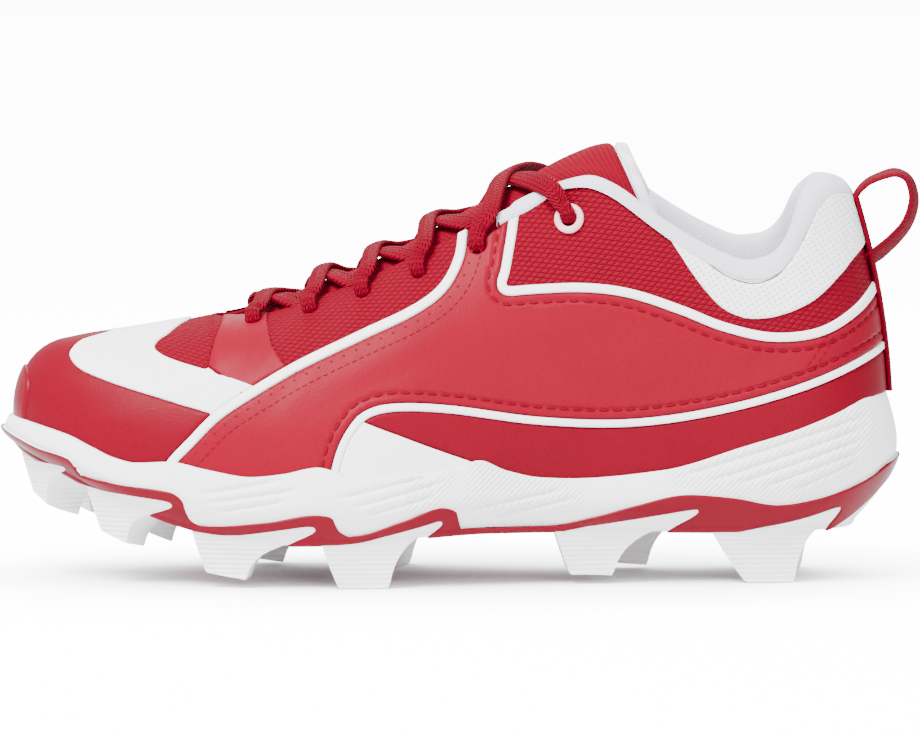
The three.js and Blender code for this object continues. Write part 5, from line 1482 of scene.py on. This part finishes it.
def lay_floor(scene):
    """White paper that glows to the camera, darker where the shoe stands near it."""
    mesh = bpy.data.meshes.new("Floor")
    corners = [(x * FLOOR_SIZE, y * FLOOR_SIZE, 0) for x, y in ((-1, -1), (1, -1), (1, 1), (-1, 1))]
    mesh.from_pydata(corners, [], [(0, 1, 2, 3)])
    floor = bpy.data.objects.new("Floor", mesh)
    floor.location.z = -0.0002
    scene.collection.objects.link(floor)
    paper = bpy.data.materials.new("White paper floor")
    paper.use_nodes = True
    tree = paper.node_tree
    shader = tree.nodes["Principled BSDF"]
    for socket, value in (("Base Color", (0.9, 0.9, 0.9, 1)), ("Roughness", 0.9), ("Specular IOR Level", 0.1),
                          ("Emission Color", (1, 1, 1, 1))):
        shader.inputs[socket].default_value = value
    near = add_node(tree, "ShaderNodeAmbientOcclusion", samples=12, Distance=SHADOW_REACH)
    seen = add_node(tree, "ShaderNodeLightPath").outputs["Is Camera Ray"]
    shade = maths(tree, "MULTIPLY", maths(tree, "POWER", near.outputs["AO"], 2.0), seen)
    tree.links.new(maths(tree, "MULTIPLY", shade, FLOOR_GLOW), shader.inputs["Emission Strength"])
    mesh.materials.append(paper)


# Settings


def colour_setting(name, description, default):
    return bpy.props.FloatVectorProperty(name=name, description=description, subtype="COLOR", default=default,
                                         min=0, max=1)


def length_setting(name, description, default, least, most):
    return bpy.props.FloatProperty(name=name, description=description + ", in millimetres", default=default,
                                   min=least, max=most)


class CleatColours(bpy.types.PropertyGroup):
    red: colour_setting("Red", "Coated leather, laces and cloth", (0.168, 0.0, 0.0105))
    white: colour_setting("White", "Overlays, piping, midsole and studs", (0.86, 0.87, 0.89))
    lining: colour_setting("Lining", "Collar lining and insole", (0.76, 0.76, 0.87))
    eyelet: colour_setting("Eyelet", "Rings of the top eyelets", (0.85, 0.4, 0.44))


class CleatSizes(bpy.types.PropertyGroup):
    panel: length_setting("Panel thickness", "Height of the overlays", 0.95, 0.2, 3)
    piping: length_setting("Piping width", "Width of the white piping", 3.0, 0.5, 8)
    stitch: length_setting("Stitch pitch", "Distance between stitches", 4.2, 0.8, 8)
    pin: length_setting("Pin hole pitch", "Distance between pin holes", 4.2, 1, 12)
    lace: length_setting("Lace width", "Width of the lace", LACE_WIDTH, 2, 10)


CACHE = {}


def rim_sheet():
    """The rounded edge of the collar and throat, from the outer surface to the inner one."""
    at, side = places(300)
    point, normal = skin_frame(at, side, np.ones_like(at))
    climb = unit(point - skin_point(at, side, np.full(at.shape, 0.97)))
    swell = 0.7 * np.clip((at - RIDGE_END) / 0.01, 0, 1)[:, None]
    sheet = grid_sheet(np.array([point - normal * WALL * share + climb * math.sin(math.pi * share) * swell
                                 for share in np.linspace(0, 1, 7)]), True)
    sheet.faces = [face for k, face in enumerate(sheet.faces) if at[k % len(at)] >= RIDGE_END - 0.004]
    return Sheet.of(*used_only(sheet.rows(), sheet.faces))


def panel_fields():
    if not CACHE:
        CACHE["fields"] = upper_fields()
        CACHE["holes"] = hole_field(SKIN)
    return CACHE["fields"], CACHE["holes"]


class CLEAT_OT_upper(bpy.types.Operator):
    """Hollow shell of the upper, with its lace holes"""
    bl_idname = "cleat.upper"
    bl_label = "Upper"

    def execute(self, context):
        _, holes = panel_fields()
        at, side = places(150)
        point, normal = skin_frame(at[None], side[None], np.linspace(0, 1, 26)[:, None])
        inner = grid_sheet(point - normal * WALL, True)
        inner = cut_sheet(inner, hole_field(inner) + 0.6)
        inner.faces = [face[::-1] for face in inner.faces]
        sheets = [cut_sheet(SKIN, holes), inner, rim_sheet()]
        make("Upper_shell", sheets, "mesh", ["upper"], weld=True)
        return {"FINISHED"}


class CLEAT_OT_panels(bpy.types.Operator):
    """Smooth and white overlays, with their piping"""
    bl_idname = "cleat.panels"
    bl_label = "Panels and piping"

    def execute(self, context):
        sizes = context.scene.cleat_sizes
        field, holes = panel_fields()
        pipe, panel = sizes.piping / 2, sizes.panel
        thin, slit, lap = pipe * 0.85, 0.15, 0.1
        front, window, guard = field["behind_front"], field["under_window"], field["over_guard"]
        wedge, turnover, band_front = field["under_wedge"], field["turnover"], field["behind_band_front"]
        behind_start = SKIN.points[:, 0] - LINING_START * SOLE_LENGTH
        before_front = -front - pipe - slit
        troughs = [(line - SEAM_OFFSET, 0.95, 0.3) for line in (window, guard)]
        quarter = [front - pipe - slit, window - pipe - slit, guard - thin - slit, -turnover - 0.2, holes]
        mudguard = [-guard - thin - slit, -wedge - slit, field["above_sole"]]
        band = [band_front, field["before_band_rear"], -front - pipe - 0.02]
        strips = [[pipe - front, front + pipe, holes], [pipe - window, window + pipe, -turnover - lap],
                  [thin - guard, guard + thin]]
        for name, sheets, finish, nodes, slot in (
                ("Quarters", [raised(SKIN, quarter, panel, channels=troughs)], "smooth",
                 ["quarter_outer", "quarter_inner"], "overlay_red"),
                # The toe cap and mudguard take the red leather darkened as painted shade
                ("Toe_cap_and_mudguard", [raised(SKIN, mudguard, panel * 0.7),
                                          raised(SKIN, [-band_front - 0.05, before_front], panel * 0.6)],
                 "low", [], "overlay_red"),
                ("Toe_band", [raised(SKIN, band, panel * 0.85, edge=0.5)], "white", ["toe_band"],
                 "overlay_white"),
                ("Wedges", [raised(SKIN, [-guard - thin, wedge], panel * 0.85, edge=0.5)], "white",
                 ["wedge_outer", "wedge_inner"], "overlay_white"),
                ("Ankle_panel", [raised(SKIN, [field["ankle"], -turnover - lap], panel, edge=1.2)], "ankle",
                 ["ankle_panel"], "overlay_white"),
                ("Lining_border", [raised(SKIN, [turnover, behind_start], 1.0, edge=1.3)], "lining", [],
                 "lining_cloth"),
                ("Throat_patch", [raised(SKIN, [field["patch"], before_front, holes], panel * 0.6, edge=0.5)],
                 "smooth", [], "overlay_red"),
                ("Piping", [raised(SKIN, strip, panel * 1.1, edge=0.45) for strip in strips], "piping", [],
                 "overlay_white")):
            make(name, sheets, finish, nodes, weld=True)
        return {"FINISHED"}


class CLEAT_OT_seams(bpy.types.Operator):
    """Stitches and pin holes along the panels"""
    bl_idname = "cleat.seams"
    bl_label = "Seams"

    def execute(self, context):
        sizes = context.scene.cleat_sizes
        tree = stitch_tree()
        panel = sizes.panel
        patch_seams = (PATCH[7:] + PATCH[:1], PATCH[:4], PATCH[4:8][::-1])
        double, pins, fine = [], [], []
        for side in (OUTER, INNER):
            double += [seam_path(line, -SEAM_OFFSET, side, panel - 0.25)
                       for line in (WINDOW_LINE, GUARD_LINE)]
            fine += [seam_path(COUNTER_LINE, shift, side, panel) for shift in (-1.1, 1.1)]
            fine.append(seam_path(FRONT_LINE, -6.6, side, panel))
            fine += [seam_path(line, 0, side, panel * 0.6) for line in patch_seams]
            # Pin holes are dark raised dots, painted shade where holes would be
            pins.append(seam_path(FRONT_LINE, -3.7, side, panel - 0.02))
        sewn("Stitches", double, tree, "thread", sizes.stitch, sizes.stitch * 0.78, 0.85, 0.55)
        sewn("Fine_stitches", fine, tree, "thread", 2.5, 1.9, 0.5, 0.3)
        sewn("Pin_holes", pins, tree, "hole", sizes.pin, 0.95, 0.95, 0.16)
        return {"FINISHED"}


class CLEAT_OT_midsole(bpy.types.Operator):
    """Moulded midsole with its pressed grooves"""
    bl_idname = "cleat.midsole"
    bl_label = "Midsole"

    def execute(self, context):
        count, levels = ((520, 52))
        make("Midsole", [midsole_sheet(count, levels)], "foam", ["midsole"], hatching=True)
        return {"FINISHED"}


class CLEAT_OT_outsole(bpy.types.Operator):
    """Outsole plate with its side band and studs"""
    bl_idname = "cleat.outsole"
    bl_label = "Outsole"

    def execute(self, context):
        count, levels = ((460, 26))
        white, red = plate_sheets(count, levels)
        make("Stud_carrier", [white], "stud", ["outsole_plate"])
        make("Side_band", [red], "rubber", ["outsole_plate"], weld=True)
        make("Plate_underside", [underside_sheet(160, 60)], "rubber", ["outsole_plate"])
        studs, nodes = [], []
        for row in STUDS:
            for side, word in ((OUTER, "outer"), (INNER, "inner")):
                studs.append(stud_sheet(row, side))
                nodes.append(f"stud_{row[0]}_{word}")
        obj = make("Studs", studs, "stud", nodes)
        bevel = obj.modifiers.new("Rounded edges", "BEVEL")
        bevel.width = 0.0005
        bevel.segments = 2
        bevel.limit_method = "ANGLE"
        bevel.angle_limit = math.radians(40)
        return {"FINISHED"}


class CLEAT_OT_inside(bpy.types.Operator):
    """Insole, padded collar and tongue"""
    bl_idname = "cleat.inside"
    bl_label = "Inside"

    def execute(self, context):
        make("Insole", [insole_sheet()], "lining", ["insole"], subdivide=1)
        obj = make("Collar_lining", [lining_sheet(110)], "lining", ["collar_lining"],
                   subdivide=2)
        outer, inner = tongue_sheets(70)
        obj = make("Tongue_face", [outer], "tongue", ["tongue"], subdivide=1)
        obj = make("Tongue_lining", [inner], "lining", ["tongue"], subdivide=1)
        return {"FINISHED"}


class CLEAT_OT_laces(bpy.types.Operator):
    """Braided lace through the eyelets"""
    bl_idname = "cleat.laces"
    bl_label = "Laces"

    def execute(self, context):
        width = context.scene.cleat_sizes.lace
        for row in range(len(EYELETS["at"]) - 1):
            strands = [flat_cord(crossing_path(row, OUTER, True), width, LACE_THICKNESS),
                       flat_cord(crossing_path(row, INNER, False), width, LACE_THICKNESS)]
            make(f"Lace_{row + 1}", strands, "lace", [f"lace_crossing_{row + 1}"])
        return {"FINISHED"}


class CLEAT_OT_trim(bpy.types.Operator):
    """Eyelet rings, toe guard, heel webbing and pull loop"""
    bl_idname = "cleat.trim"
    bl_label = "Trim"

    def execute(self, context):
        rings = [ring_sheet(side) for side in (OUTER, INNER)]
        make("Eyelet_rings", rings, "eyelet", ["eyelet_outer", "eyelet_inner"], weld=True)
        make("Toe_guard", [guard_sheet()], "rubber", ["toe_guard"], weld=True)
        make("Heel_webbing", webbing_sheets(), "webbing", ["heel_webbing"])
        return {"FINISHED"}


class CLEAT_OT_stage(bpy.types.Operator):
    """Pale floor, soft studio light and the camera"""
    bl_idname = "cleat.stage"
    bl_label = "Stage"

    def execute(self, context):
        set_camera(context.scene)
        lay_floor(context.scene)
        world = bpy.data.worlds.new("Studio")
        world.use_nodes = True
        tree = world.node_tree
        background = tree.nodes["Background"]
        background.inputs[0].default_value = (1, 1, 1, 1)
        seen = add_node(tree, "ShaderNodeLightPath").outputs["Is Camera Ray"]
        tree.links.new(maths(tree, "MULTIPLY_ADD", seen, SEEN_SKY, SKY), background.inputs[1])
        context.scene.world = world
        for name, place, size, power in LAMPS:
            light = bpy.data.lights.new(name, "AREA")
            light.shape = "SQUARE"
            light.size = size
            light.energy = power
            lamp = bpy.data.objects.new(name, light)
            lamp.location = place
            lamp.rotation_euler = (Vector((0, 0, 0.05)) - Vector(place)).to_track_quat("-Z", "Y").to_euler()
            context.scene.collection.objects.link(lamp)
        return {"FINISHED"}


OPERATORS = (CLEAT_OT_stage, CLEAT_OT_upper, CLEAT_OT_panels, CLEAT_OT_seams, CLEAT_OT_midsole,
             CLEAT_OT_outsole,
             CLEAT_OT_inside, CLEAT_OT_laces, CLEAT_OT_trim)


class CLEAT_PT_pieces(bpy.types.Panel):
    """The cleat's pieces, sizes and colours"""
    bl_label = "Baseball cleat"
    bl_idname = "CLEAT_PT_pieces"
    bl_space_type = "VIEW_3D"
    bl_region_type = "UI"
    bl_category = "Cleat"

    def draw(self, context):
        layout = self.layout
        for group in (context.scene.cleat_sizes, context.scene.cleat_colours):
            for name in group.__annotations__:
                layout.prop(group, name)
        for operator in OPERATORS:
            layout.operator(operator.bl_idname)


def register():
    for item in (CleatColours, CleatSizes, *OPERATORS, CLEAT_PT_pieces):
        bpy.utils.register_class(item)
    bpy.types.Scene.cleat_colours = bpy.props.PointerProperty(type=CleatColours)
    bpy.types.Scene.cleat_sizes = bpy.props.PointerProperty(type=CleatSizes)


def unregister():
    del bpy.types.Scene.cleat_sizes
    del bpy.types.Scene.cleat_colours
    for item in (CLEAT_PT_pieces, *reversed(OPERATORS), CleatSizes, CleatColours):
        bpy.utils.unregister_class(item)


def main():
    register()
    finishes(bpy.context.scene.cleat_colours)
    for operator in OPERATORS:
        group, name = operator.bl_idname.split(".")
        getattr(getattr(bpy.ops, group), name)()


if __name__ == "__main__":
    main()
